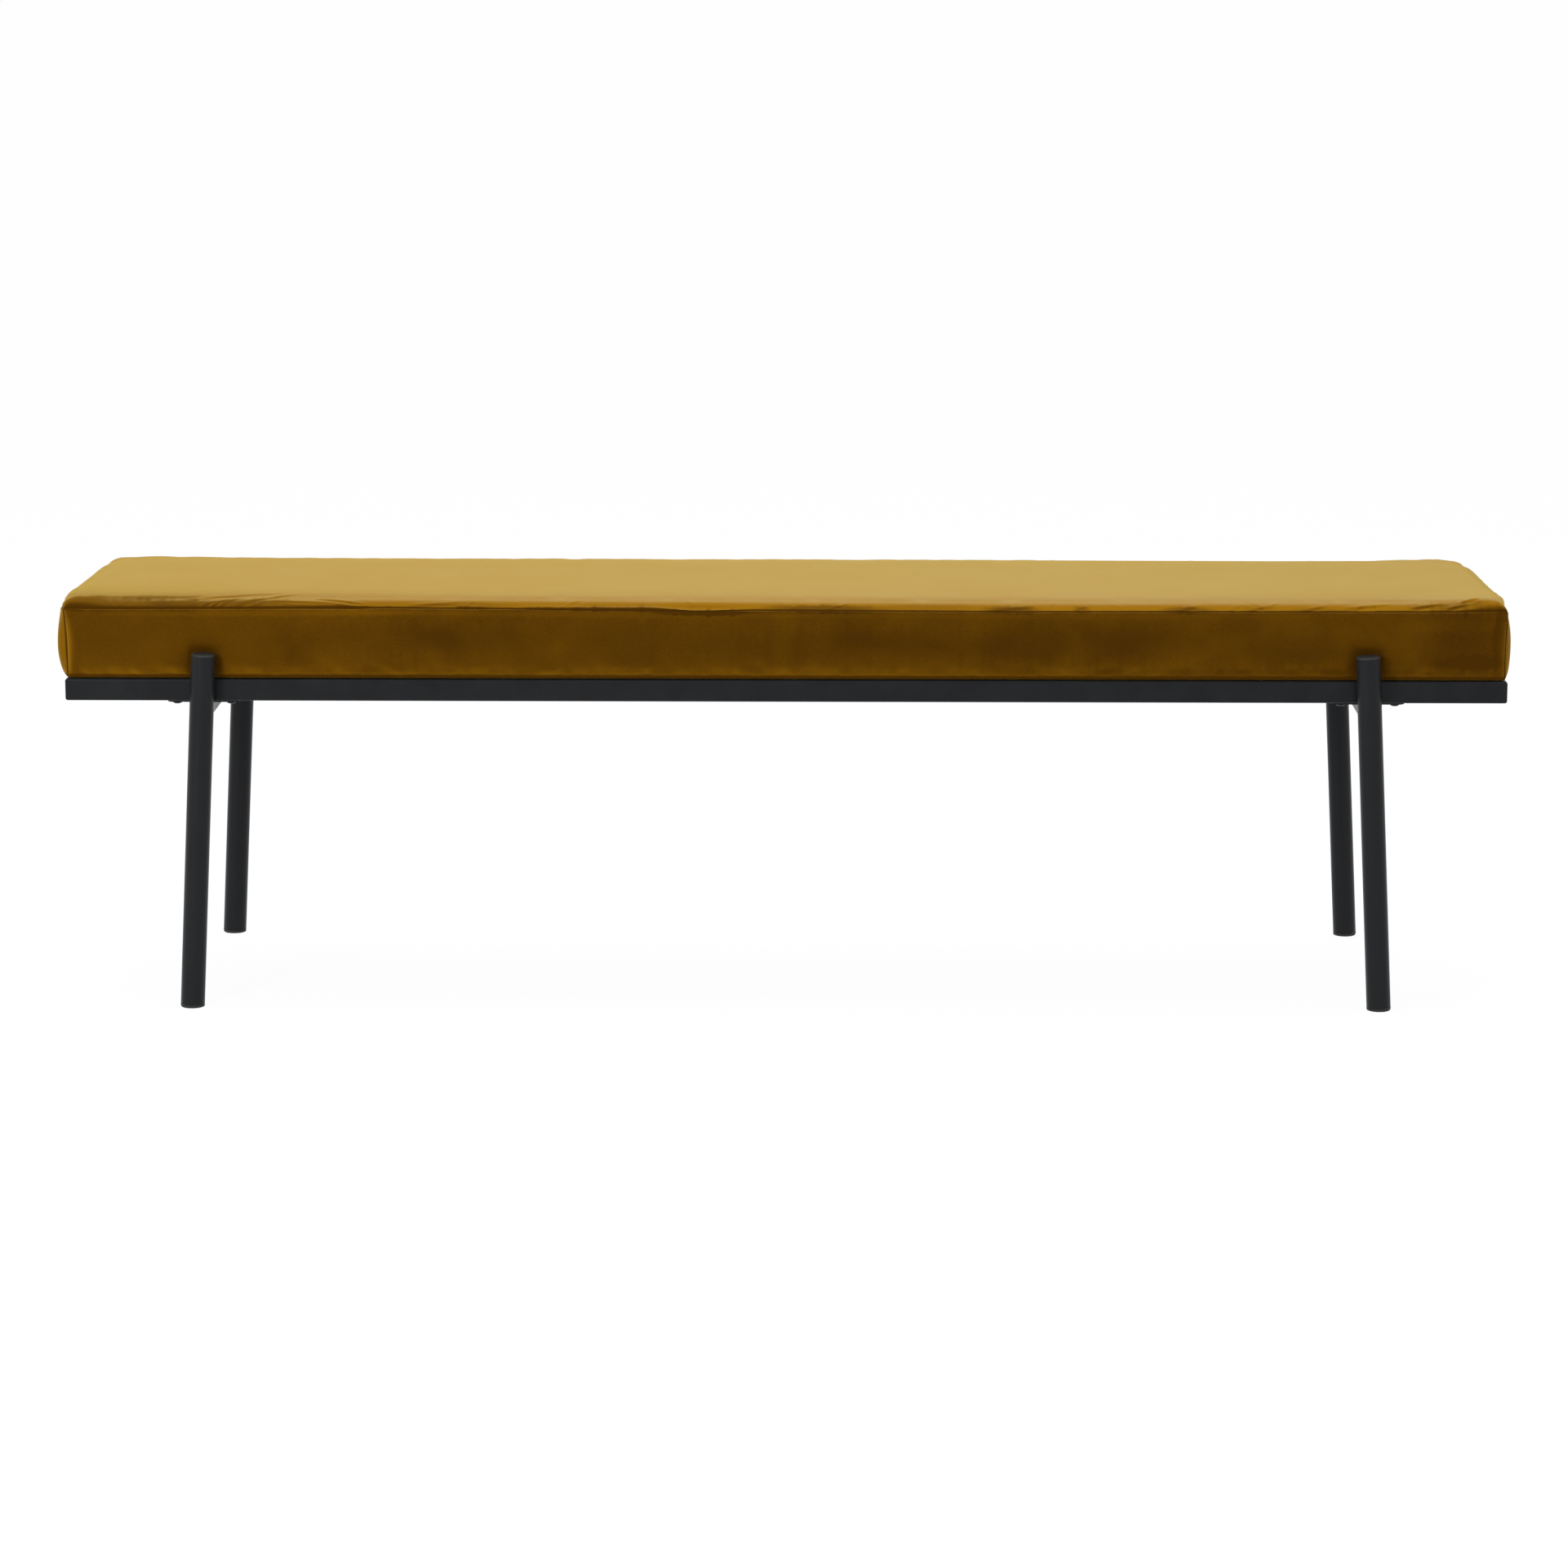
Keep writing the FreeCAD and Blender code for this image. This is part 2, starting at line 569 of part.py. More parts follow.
def cushionLevels(inset, base, steps):
    # Height, how far the corners stand out from the frame, and the bow of the ends and of the sides
    levels = []
    sideSteps, rollSteps = steps
    first = number(f"({base} - {COVER_BASE}) / Sizes.sideHeight")
    for step in range(sideSteps + 1):
        share = first + (1 - first) * step / sideSteps
        stand = f"-{share} * Sizes.seamTuck - {1 - share} * Sizes.footTuck - {inset}"
        bows = [f"{1 - share} * Sizes.footBow + {share} * Sizes.{name}SeamBow"
                f" + {4 * share * (1 - share)} * Sizes.{name}Bulge" for name in ENDS_AND_SIDES]
        levels.append((f"{COVER_BASE} + {share} * Sizes.sideHeight", stand, *bows))
    seamBows = [f"Sizes.{name}SeamBow" for name in ENDS_AND_SIDES]
    for step in range(1, rollSteps + 1):
        angle = 90 * step / rollSteps
        stand = f"cos({angle}) * (Sizes.rollReach - {inset}) - Sizes.rollReach - Sizes.seamTuck"
        levels.append((f"{SEAM_Z} + sin({angle}) * (Sizes.rollHeight - {inset})", stand, *seamBows))
    crown = "-Sizes.crownReach - Sizes.rollReach - Sizes.seamTuck"
    levels.append((f"{SEAM_Z} + Sizes.crownHeight - {inset}", crown, *seamBows))
    return levels


def legHollows(label, inset):
    hollows = []
    for endName, end in ENDS.items():
        for sideName, side in SIDES.items():
            hollow = newItem("Part::Cylinder", f"{label}_{sideName}_{endName}_hollow")
            hollow.setExpression("Radius", f"Sizes.legDiameter / 2 + Sizes.softGap + {inset}")
            hollow.setExpression("Height", f"{LEG_LENGTH} + Sizes.softGap + {inset}")
            placeLeg(hollow, end, side)
            hollows.append(hollow)
    together = newItem("Part::MultiFuse", f"{label}_hollows")
    together.Shapes = hollows
    return together


def cushionForm(label, inset, base, steps=COVER_STEPS):
    sections = []
    for index, (height, stand, endBow, sideBow) in enumerate(cushionLevels(inset, base, steps)):
        level = newItem("Sketcher::SketchObject", f"{label}_level_{index}")
        length, depth = (f"{size} + 2 * ({stand})" for size in ("Sizes.frameLength", "Sizes.frameDepth"))
        addBowedOutline(level, length, depth, endBow, sideBow)
        level.setExpression("Placement.Base.z", height)
        sections.append(level)
    loft = newItem("Part::Loft", f"{label}_loft")
    loft.Sections = sections
    loft.Solid = True
    loft.Ruled = True
    return boolean("Part::Cut", f"{label}_form", loft, legHollows(label, inset))


def boolean(kind, label, base, tool):
    result = newItem(kind, label)
    result.Base = base
    result.Tool = tool
    return result


def levelBox(label, insideFrame, base, height):
    box = newItem("Part::Box", label)
    for name, size, axis in (("Length", "Sizes.frameLength", "x"), ("Width", "Sizes.frameDepth", "y")):
        box.setExpression(name, f"{size} - 2 * ({insideFrame})")
        box.setExpression(f"Placement.Base.{axis}", f"{insideFrame} - {size} / 2")
    box.setExpression("Height", height)
    box.setExpression("Placement.Base.z", base)
    return box


def panelRegions():
    # Seen from above: the panels meet at 45 degrees, from each corner seam to the mitred hem
    far = "(Sizes.frameLength / 2 + Sizes.hemWidth)"
    deep = "(Sizes.frameDepth / 2 + Sizes.hemWidth)"
    ridge = "((Sizes.frameLength - Sizes.frameDepth) / 2)"
    outlines = {}
    for name, end in ENDS.items():
        outlines[f"{name}_end"] = [(f"{end} * {x}", y) for x, y in (
            (far, f"-{deep}"), (far, deep), (ridge, "0"))]
    for name, side in SIDES.items():
        outlines[name] = [(f"-{far}", f"{side} * {deep}"), (f"-{ridge}", "0"), (ridge, "0"),
                          (far, f"{side} * {deep}")]
    regions = {}
    for name, outline in outlines.items():
        region = newBody(f"{name}_region")
        sketch = newSketch(region, "outline")
        addOutline(sketch, outline)
        addPad(region, sketch, f"{SEAM_Z} + Sizes.crownHeight")
        regions[name] = region
    return regions


def makeCover():
    outer = cushionForm("cover", "0", COVER_BASE)
    cavity = cushionForm("cavity", "Sizes.coverThickness", BOARD_BASE)
    shell = boolean("Part::Cut", "cover_shell", outer, cavity)
    opening = levelBox("hem_opening", "Sizes.hemWidth", f"{COVER_BASE} - Sizes.hemWidth",
                       "Sizes.hemWidth + Sizes.coverThickness")
    hemmed = boolean("Part::Cut", "cover_hemmed", shell, opening)
    above = levelBox("above_seam", "-2 * Sizes.hemWidth", SEAM_Z, "2 * Sizes.crownHeight")
    pieces.append(boolean("Part::Common", "cover_top", hemmed, above))
    below = boolean("Part::Cut", "below_seam", hemmed, above)
    for name, region in panelRegions().items():
        pieces.append(boolean("Part::Common", f"cover_{name}", below, region))


def makeFilling():
    inset = "(Sizes.coverThickness + Sizes.softGap)"
    wrap = cushionForm("wrap", inset, f"{BOARD_BASE} + Sizes.softGap", WADDING_STEPS)
    boardRoom = levelBox("board_room", "Sizes.boardInset - Sizes.softGap", BOARD_BASE, "Sizes.boardThickness")
    foamRoom = newBody("foam_room")
    addFoam(foamRoom, "Sizes.softGap")
    aroundBoard = boolean("Part::Cut", "around_board", wrap, boardRoom)
    pieces.append(boolean("Part::Cut", "wadding", aroundBoard, foamRoom))
    addFoam(newPiece("foam_block"), "0")


def addFoam(body, room):
    outline = newSketch(body, "outline", lift=BOARD_TOP)
    sizes = [f"{size} - 2 * (Sizes.foamInset - {room})" for size in ("Sizes.frameLength", "Sizes.frameDepth")]
    addRoundedRectangle(outline, *sizes, f"Sizes.foamCorner + {room}")
    addPad(body, outline, f"Sizes.foamHeight + {room}")


# Checks and export

def findFaults():
    faults = [f"{item.Label}: {item.State}" for item in doc.Objects
              if "Invalid" in item.State or "Error" in item.State]
    for piece in pieces:
        if piece.Shape.isNull() or not piece.Shape.isValid() or not piece.Shape.Solids:
            faults.append(f"{piece.Label}: no valid solid")
    return faults


def main():
    fillSheet()
    makeFrame()
    makeCrossRails()
    makeLegs()
    makeLegMounts()
    makeFasteners()
    makeSeatBoard()
    makeCover()
    makeFilling()
    doc.recompute()
    faults = findFaults()
    if faults:
        raise RuntimeError("; ".join(faults))
    os.makedirs("parts", exist_ok=True)
    for piece in pieces:
        piece.Shape.exportStep(f"parts/{piece.Label}.step")
        box = piece.Shape.BoundBox
        low = f"{box.XMin:9.2f} {box.YMin:8.2f} {box.ZMin:7.2f}"
        high = f"{box.XMax:8.2f} {box.YMax:8.2f} {box.ZMax:7.2f}"
        print(f"{piece.Label:28} {len(piece.Shape.Solids):3} {piece.Shape.Volume / 1000:10.2f} {low} {high}")


main()
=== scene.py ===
import json
import math
import random

import bmesh
import bpy
import numpy as np
from mathutils import Matrix, Vector


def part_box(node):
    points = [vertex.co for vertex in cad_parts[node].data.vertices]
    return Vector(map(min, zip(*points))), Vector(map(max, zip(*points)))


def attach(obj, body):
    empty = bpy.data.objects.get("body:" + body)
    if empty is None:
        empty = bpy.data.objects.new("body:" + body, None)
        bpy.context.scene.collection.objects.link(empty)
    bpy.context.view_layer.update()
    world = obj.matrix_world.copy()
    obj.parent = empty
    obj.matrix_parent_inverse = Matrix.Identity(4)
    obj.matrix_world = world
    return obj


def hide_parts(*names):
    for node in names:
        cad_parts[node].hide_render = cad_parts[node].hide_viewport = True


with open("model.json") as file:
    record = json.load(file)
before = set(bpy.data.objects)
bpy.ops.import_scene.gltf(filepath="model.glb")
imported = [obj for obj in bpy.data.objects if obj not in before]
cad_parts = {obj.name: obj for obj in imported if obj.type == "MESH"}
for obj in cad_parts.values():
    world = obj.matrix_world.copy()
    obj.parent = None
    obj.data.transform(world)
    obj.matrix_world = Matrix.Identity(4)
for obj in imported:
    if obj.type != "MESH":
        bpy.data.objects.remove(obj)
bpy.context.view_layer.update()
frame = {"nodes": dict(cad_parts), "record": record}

body = "root"
mm = 0.001
print("frame loaded,", len(frame["nodes"]), "nodes")


# Small helpers

def hexColour(code):
    # sRGB hex to the linear values that a socket takes
    shares = [int(code[index:index + 2], 16) / 255 for index in (1, 3, 5)]
    linear = [share / 12.92 if share <= 0.04045 else ((share + 0.055) / 1.055) ** 2.4 for share in shares]
    return (*linear, 1)


def addNode(tree, kind, inputs=None, **settings):
    node = tree.nodes.new(kind)
    for name, value in settings.items():
        setattr(node, name, value)
    for socket, value in (inputs or {}).items():
        if isinstance(value, bpy.types.NodeSocket):
            tree.links.new(value, node.inputs[socket])
        else:
            node.inputs[socket].default_value = value
    return node


def newMaterial(name):
    material = bpy.data.materials.new(name)
    material.use_nodes = True
    return material, material.node_tree, material.node_tree.nodes["Principled BSDF"]


def newPiece(name, bm, material, replaced=()):
    # Takes a finished bmesh in metres, in the row frame
    mesh = bpy.data.meshes.new(name)
    bm.to_mesh(mesh)
    bm.free()
    mesh.polygons.foreach_set("use_smooth", [True] * len(mesh.polygons))
    mesh.materials.append(material)
    piece = bpy.data.objects.new(name, mesh)
    bpy.context.scene.collection.objects.link(piece)
    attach(piece, body)
    if replaced:
        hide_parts(*replaced)
    return piece


# Camera, floor and light

view = {
    "place": (0.0687, -5.4324, 1.2822),
    "down": 11.08,         # degrees under level
    "turned": 0.76,        # degrees to the left
    "lens": 110.46,        # mm on a 36 mm sensor
}

studio = {
    "skyForDiffuse": 0.40,
    "topSize": (3.4, 1.8), "topPlace": (0.0, 0.35, 2.5), "topPower": 36,
    "keySize": (0.8, 1.8), "keyPlace": (-2.1, -3.3, 1.5), "keyPower": 34,
    "floorColour": "#F2F2F2",
    "floorGlow": 0.9,      # share of plain white that the camera sees in the floor
    "glowStrength": 1.06,
    "lampsAim": (0, 0, 0.4),
}


def makeCamera():
    data = bpy.data.cameras.new("camera")
    data.sensor_fit = "HORIZONTAL"
    data.sensor_width = 36
    data.lens = view["lens"]
    camera = bpy.data.objects.new("camera", data)
    camera.location = view["place"]
    camera.rotation_euler = (math.radians(90 - view["down"]), 0, math.radians(view["turned"]))
    bpy.context.scene.collection.objects.link(camera)
    bpy.context.scene.camera = camera


def seenDirectly(tree):
    # 1 for what the camera, a reflection or a clear material sees
    path = addNode(tree, "ShaderNodeLightPath")
    either = addNode(tree, "ShaderNodeMath", {0: path.outputs["Is Camera Ray"], 1: path.outputs["Is Glossy Ray"]},
                     operation="MAXIMUM")
    return addNode(tree, "ShaderNodeMath", {0: either.outputs[0], 1: path.outputs["Is Transmission Ray"]},
                   operation="MAXIMUM").outputs[0]


def makeWorld():
    world = bpy.data.worlds.new("studio")
    world.use_nodes = True
    tree = world.node_tree
    tree.nodes.clear()
    soft = addNode(tree, "ShaderNodeBackground", {"Color": (1, 1, 1, 1), "Strength": studio["skyForDiffuse"]})
    white = addNode(tree, "ShaderNodeBackground", {"Color": (1, 1, 1, 1), "Strength": 1})
    mix = addNode(tree, "ShaderNodeMixShader", {0: seenDirectly(tree), 1: soft.outputs[0], 2: white.outputs[0]})
    addNode(tree, "ShaderNodeOutputWorld", {"Surface": mix.outputs[0]})
    bpy.context.scene.world = world


def makeFloor():
    bm = bmesh.new()
    bmesh.ops.create_grid(bm, x_segments=1, y_segments=1, size=200)
    mesh = bpy.data.meshes.new("floor")
    bm.to_mesh(mesh)
    bm.free()
    floor = bpy.data.objects.new("floor", mesh)
    bpy.context.scene.collection.objects.link(floor)
    material = bpy.data.materials.new("matt white studio floor")
    material.use_nodes = True
    tree = material.node_tree
    tree.nodes.clear()
    matt = addNode(tree, "ShaderNodeBsdfDiffuse", {"Color": hexColour(studio["floorColour"])})
    glow = addNode(tree, "ShaderNodeEmission", {"Color": (1, 1, 1, 1), "Strength": studio["glowStrength"]})
    share = addNode(tree, "ShaderNodeMath", {0: seenDirectly(tree), 1: studio["floorGlow"]},
                    operation="MULTIPLY")
    mix = addNode(tree, "ShaderNodeMixShader", {0: share.outputs[0], 1: matt.outputs[0], 2: glow.outputs[0]})
    addNode(tree, "ShaderNodeOutputMaterial", {"Surface": mix.outputs[0]})
    mesh.materials.append(material)


def makeLamp(name, size, place, power):
    data = bpy.data.lights.new(name, "AREA")
    data.shape = "RECTANGLE"
    data.size, data.size_y = size
    data.energy = power
    lamp = bpy.data.objects.new(name, data)
    lamp.location = place
    aim = Vector(studio["lampsAim"]) - Vector(place)
    lamp.rotation_euler = aim.to_track_quat("-Z", "Y").to_euler()
    bpy.context.scene.collection.objects.link(lamp)


def makeStudio():
    makeCamera()
    makeWorld()
    makeFloor()
    makeLamp("top softbox", studio["topSize"], studio["topPlace"], studio["topPower"])
    makeLamp("key softbox", studio["keySize"], studio["keyPlace"], studio["keyPower"])
    bpy.context.scene.view_settings.view_transform = "Standard"
    print("studio ready")


# Finishes

def objectCoordinates(tree, scale=(1, 1, 1)):
    place = addNode(tree, "ShaderNodeTexCoord")
    return addNode(tree, "ShaderNodeMapping", {"Vector": place.outputs["Object"], "Scale": scale}).outputs[0]


def noise(tree, where, size, detail=2, roughness=0.5, distortion=0):
    # size is the real size of the pattern in mm
    return addNode(tree, "ShaderNodeTexNoise", {
        "Vector": where, "Scale": 1 / (size * mm), "Detail": detail, "Roughness": roughness,
        "Distortion": distortion}).outputs["Fac"]


def spread(tree, value, low, high):
    # Remaps the middle of a noise to a range
    return addNode(tree, "ShaderNodeMapRange", {"Value": value, "From Min": 0.3, "From Max": 0.7,
                                                "To Min": low, "To Max": high}).outputs[0]


def blendColours(tree, share, first, second):
    mix = addNode(tree, "ShaderNodeMix", {"Factor": share, 6: first, 7: second}, data_type="RGBA")
    return mix.outputs[2]


def mottle(tree, shader, pattern, dark, pale):
    # Two shades of the base colour, mixed by a pattern
    tone = blendColours(tree, spread(tree, pattern, 0, 1), hexColour(dark), hexColour(pale))
    tree.links.new(tone, shader.inputs["Base Color"])


def addBump(tree, shader, height, depth, strength=1.0):
    # depth is the real depth of the relief in mm
    bump = addNode(tree, "ShaderNodeBump", {"Height": height, "Distance": depth * mm, "Strength": strength})
    tree.links.new(bump.outputs[0], shader.inputs["Normal"])


velvetFinish = {
    "deep": "#573500", "light": "#805402",        # faced: pile towards the eye, and stroked the other way
    # On the flat of the seat the faced colours are lighter: a painted sheen of the top
    "topDeep": "#80560A", "topLight": "#9C6E14",  # faced, on the flat of the seat
    # Painted sheen: base colours for where the surface turns away from the eye and where it is seen along the pile
    "turning": "#A8740A", "alongPile": "#BE9C60",  # where the surface turns away, and seen along the pile
    "turns": (0.03, 0.34), "grazes": (0.38, 0.82),
    "sheen": 0.9, "sheenRoughness": 0.34, "sheenColour": "#FFDE6A",
    "brushed": 90,         # mm, patches where the pile was stroked another way
    "pile": 1.3,           # mm, tufts of pile, drawn coarser than the real 0.3 so that they show
    "pileDepth": 0.25,     # mm
    # Shares of the lighter tone that the patches, the tufts and the lie of the pile, with the painted shade carried in
    # it, give
    "brushedTone": (0.12, 0.5), "pileTone": (-0.12, 0.25), "lieTone": 0.8,
    "lieTurning": 0.75, "brushedGraze": (0.86, 1.0),
}


def makeVelvet():
    # Cotton velvet, cut pile on a woven ground: dark when faced, gold where it turns away, pale along the pile. The
    # gold and pale base colours, mixed in by the facing angle, are a painted sheen
    material, tree, shader = newMaterial("ochre cotton velvet, cut pile")
    finish = velvetFinish
    where = objectCoordinates(tree)
    brushed = noise(tree, where, finish["brushed"], detail=3, roughness=0.45, distortion=0.8)
    pile = noise(tree, where, finish["pile"], detail=3, roughness=0.7)
    # The lie of the pile, with painted shade along the seams, under the lower edge and round the legs
    lie = addNode(tree, "ShaderNodeAttribute", attribute_name="pileLieAndShade").outputs["Fac"]
    seatSheenShare = addNode(tree, "ShaderNodeAttribute", attribute_name="seatSheenShare").outputs["Fac"]

    def compute(operation, first, second, third=0.0, clamp=False):
        return addNode(tree, "ShaderNodeMath", {0: first, 1: second, 2: third}, operation=operation,
                       use_clamp=clamp).outputs[0]

    def sheenShare(limits):
        return addNode(tree, "ShaderNodeMapRange", {"Value": facing, "From Min": limits[0], "From Max": limits[1]},
                       interpolation_type="SMOOTHSTEP").outputs[0]

    tone = compute("ADD", spread(tree, brushed, *finish["brushedTone"]), spread(tree, pile, *finish["pileTone"]))
    tone = compute("MULTIPLY_ADD", lie, finish["lieTone"], tone, clamp=True)
    faced = blendColours(tree, tone, hexColour(finish["deep"]), hexColour(finish["light"]))
    seat = blendColours(tree, tone, hexColour(finish["topDeep"]), hexColour(finish["topLight"]))
    # The flat of the seat takes its lighter colours: painted sheen of the top
    faced = blendColours(tree, seatSheenShare, faced, seat)
    # Painted sheen: the base colour turns gold and then pale as the surface turns away from the eye
    facing = addNode(tree, "ShaderNodeLayerWeight", {"Blend": 0.5}).outputs["Facing"]
    turning = compute("MULTIPLY", sheenShare(finish["turns"]),
                      compute("MULTIPLY_ADD", lie, finish["lieTurning"], 1.0), clamp=True)
    grazing = compute("MULTIPLY", sheenShare(finish["grazes"]), compute("MULTIPLY_ADD", lie, 1.0, 1.0), clamp=True)
    grazing = compute("MULTIPLY", grazing, spread(tree, brushed, *finish["brushedGraze"]), clamp=True)
    colour = blendColours(tree, turning, faced, hexColour(finish["turning"]))
    colour = blendColours(tree, grazing, colour, hexColour(finish["alongPile"]))
    tree.links.new(colour, shader.inputs["Base Color"])
    shader.inputs["Roughness"].default_value = 0.85
    shader.inputs["Specular IOR Level"].default_value = 0.05
    shader.inputs["Sheen Weight"].default_value = finish["sheen"]
    shader.inputs["Sheen Roughness"].default_value = finish["sheenRoughness"]
    shader.inputs["Sheen Tint"].default_value = hexColour(finish["sheenColour"])
    addBump(tree, shader, pile, finish["pileDepth"], 0.6)
    return material


def makePowderCoat(name, colour):
    # Polyester powder, baked: satin black with a fine orange peel and faint handling marks
    material, tree, shader = newMaterial(name)
    where = objectCoordinates(tree)
    peel = noise(tree, where, 1.6, detail=2)
    marks = noise(tree, where, 45, detail=4, roughness=0.6)
    mottle(tree, shader, marks, colour, "#242628")
    tree.links.new(spread(tree, marks, 0.3, 0.4), shader.inputs["Roughness"])
    shader.inputs["Specular IOR Level"].default_value = 0.14
    addBump(tree, shader, peel, 0.02)
    return material


def makeMouldedPlastic():
    # Injection moulded polyethylene: matt black, spark-eroded grain
    material, tree, shader = newMaterial("moulded black polyethylene")
    where = objectCoordinates(tree)
    grain = noise(tree, where, 0.5, detail=2, roughness=0.6)
    mottle(tree, shader, grain, "#1E1F20", "#292A2B")
    tree.links.new(spread(tree, grain, 0.45, 0.6), shader.inputs["Roughness"])
    shader.inputs["Specular IOR Level"].default_value = 0.35
    addBump(tree, shader, grain, 0.02)
    return material


def makeSteel(name, dark, pale, roughness):
    # Plated or oxidised steel: drawing lines and a mottled film
    material, tree, shader = newMaterial(name)
    where = objectCoordinates(tree)
    film = noise(tree, where, 2.5, detail=3)
    lines = noise(tree, objectCoordinates(tree, (1, 1, 0.1)), 0.3, detail=1)
    mottle(tree, shader, film, dark, pale)
    tree.links.new(spread(tree, lines, roughness - 0.08, roughness + 0.08), shader.inputs["Roughness"])
    shader.inputs["Metallic"].default_value = 1
    addBump(tree, shader, lines, 0.01)
    return material


def makePlywood():
    # Birch plywood, sanded and unfinished: long grain on the faces and pale knots
    material, tree, shader = newMaterial("sanded birch plywood")
    grain = noise(tree, objectCoordinates(tree, (0.06, 1, 1)), 3, detail=5, roughness=0.6, distortion=0.6)
    mottle(tree, shader, grain, "#C9A679", "#E0C59B")
    shader.inputs["Roughness"].default_value = 0.7
    addBump(tree, shader, grain, 0.08)
    return material


def makeNonWoven():
    # Spun-bonded polypropylene: black, pressed with a close grid of bond points
    material, tree, shader = newMaterial("black spun-bonded dust cloth")
    where = objectCoordinates(tree)
    bonds = addNode(tree, "ShaderNodeTexVoronoi", {"Vector": where, "Scale": 1 / (2.2 * mm), "Randomness": 0.25})
    fibres = noise(tree, where, 1.2, detail=4, roughness=0.7)
    mottle(tree, shader, fibres, "#17181A", "#2C2D30")
    shader.inputs["Roughness"].default_value = 0.8
    addBump(tree, shader, bonds.outputs["Distance"], 0.15)
    return material


def makeFoam():
    # Cut polyurethane foam: pale cream, open cells
    material, tree, shader = newMaterial("cut polyurethane foam")
    cells = noise(tree, objectCoordinates(tree), 1.0, detail=2, roughness=0.6)
    mottle(tree, shader, cells, "#D9CC9F", "#EFE6C4")
    shader.inputs["Roughness"].default_value = 0.95
    addBump(tree, shader, cells, 0.4)
    return material


def makeWadding():
    # Bonded polyester wadding: white, loose crimped fibres
    material, tree, shader = newMaterial("bonded polyester wadding")
    fibres = noise(tree, objectCoordinates(tree), 4, detail=5, roughness=0.7, distortion=1.5)
    mottle(tree, shader, fibres, "#DAD9D5", "#F0EFEC")
    shader.inputs["Roughness"].default_value = 0.95
    addBump(tree, shader, fibres, 0.6)
    return material


def makeThread():
    # Bonded polyester sewing thread, three plies with a slight twist
    material, tree, shader = newMaterial("ochre sewing thread")
    twist = noise(tree, objectCoordinates(tree), 0.4, detail=1)
    # The thread is coloured far darker than the velvet: painted shade of the stitches, sunk in the pile
    mottle(tree, shader, twist, "#2C1C03", "#4A310A")
    shader.inputs["Roughness"].default_value = 0.7
    shader.inputs["Specular IOR Level"].default_value = 0.1
    return material


finishes = {
    "velvet": makeVelvet(),
    "thread": makeThread(),
    "frame": makePowderCoat("black satin powder coat on square tube", "#1B1C1E"),
    "leg": makePowderCoat("black satin powder coat on round tube", "#222326"),
    "plastic": makeMouldedPlastic(),
    "zinc": makeSteel("zinc plated steel", "#8E9092", "#B4B6B6", 0.4),
    "blackSteel": makeSteel("black oxide steel", "#1C1C1D", "#2E2E30", 0.38),
    "plywood": makePlywood(),
    "dustCloth": makeNonWoven(),
    "foam": makeFoam(),
    "wadding": makeWadding(),
}


def dressNodes():
    # CAD nodes that stay, each with the finish of its slot
    bySlot = {"frame_tube": "frame", "leg_tube": "leg", "black_plastic": "plastic", "zinc_steel": "zinc",
              "black_fastener": "blackSteel", "plywood": "plywood", "velvet": "velvet", "dust_cloth": "dustCloth",
              "foam": "foam", "wadding": "wadding"}
    for part in frame["record"]["subparts"]:
        node = frame["nodes"][part["node"]]
        node.data.materials.clear()
        node.data.materials.append(finishes[bySlot[part["material_slot"]]])
    print("nodes dressed")


# Cushion: one cover over foam, its panels sewn along the top edge and down the corners

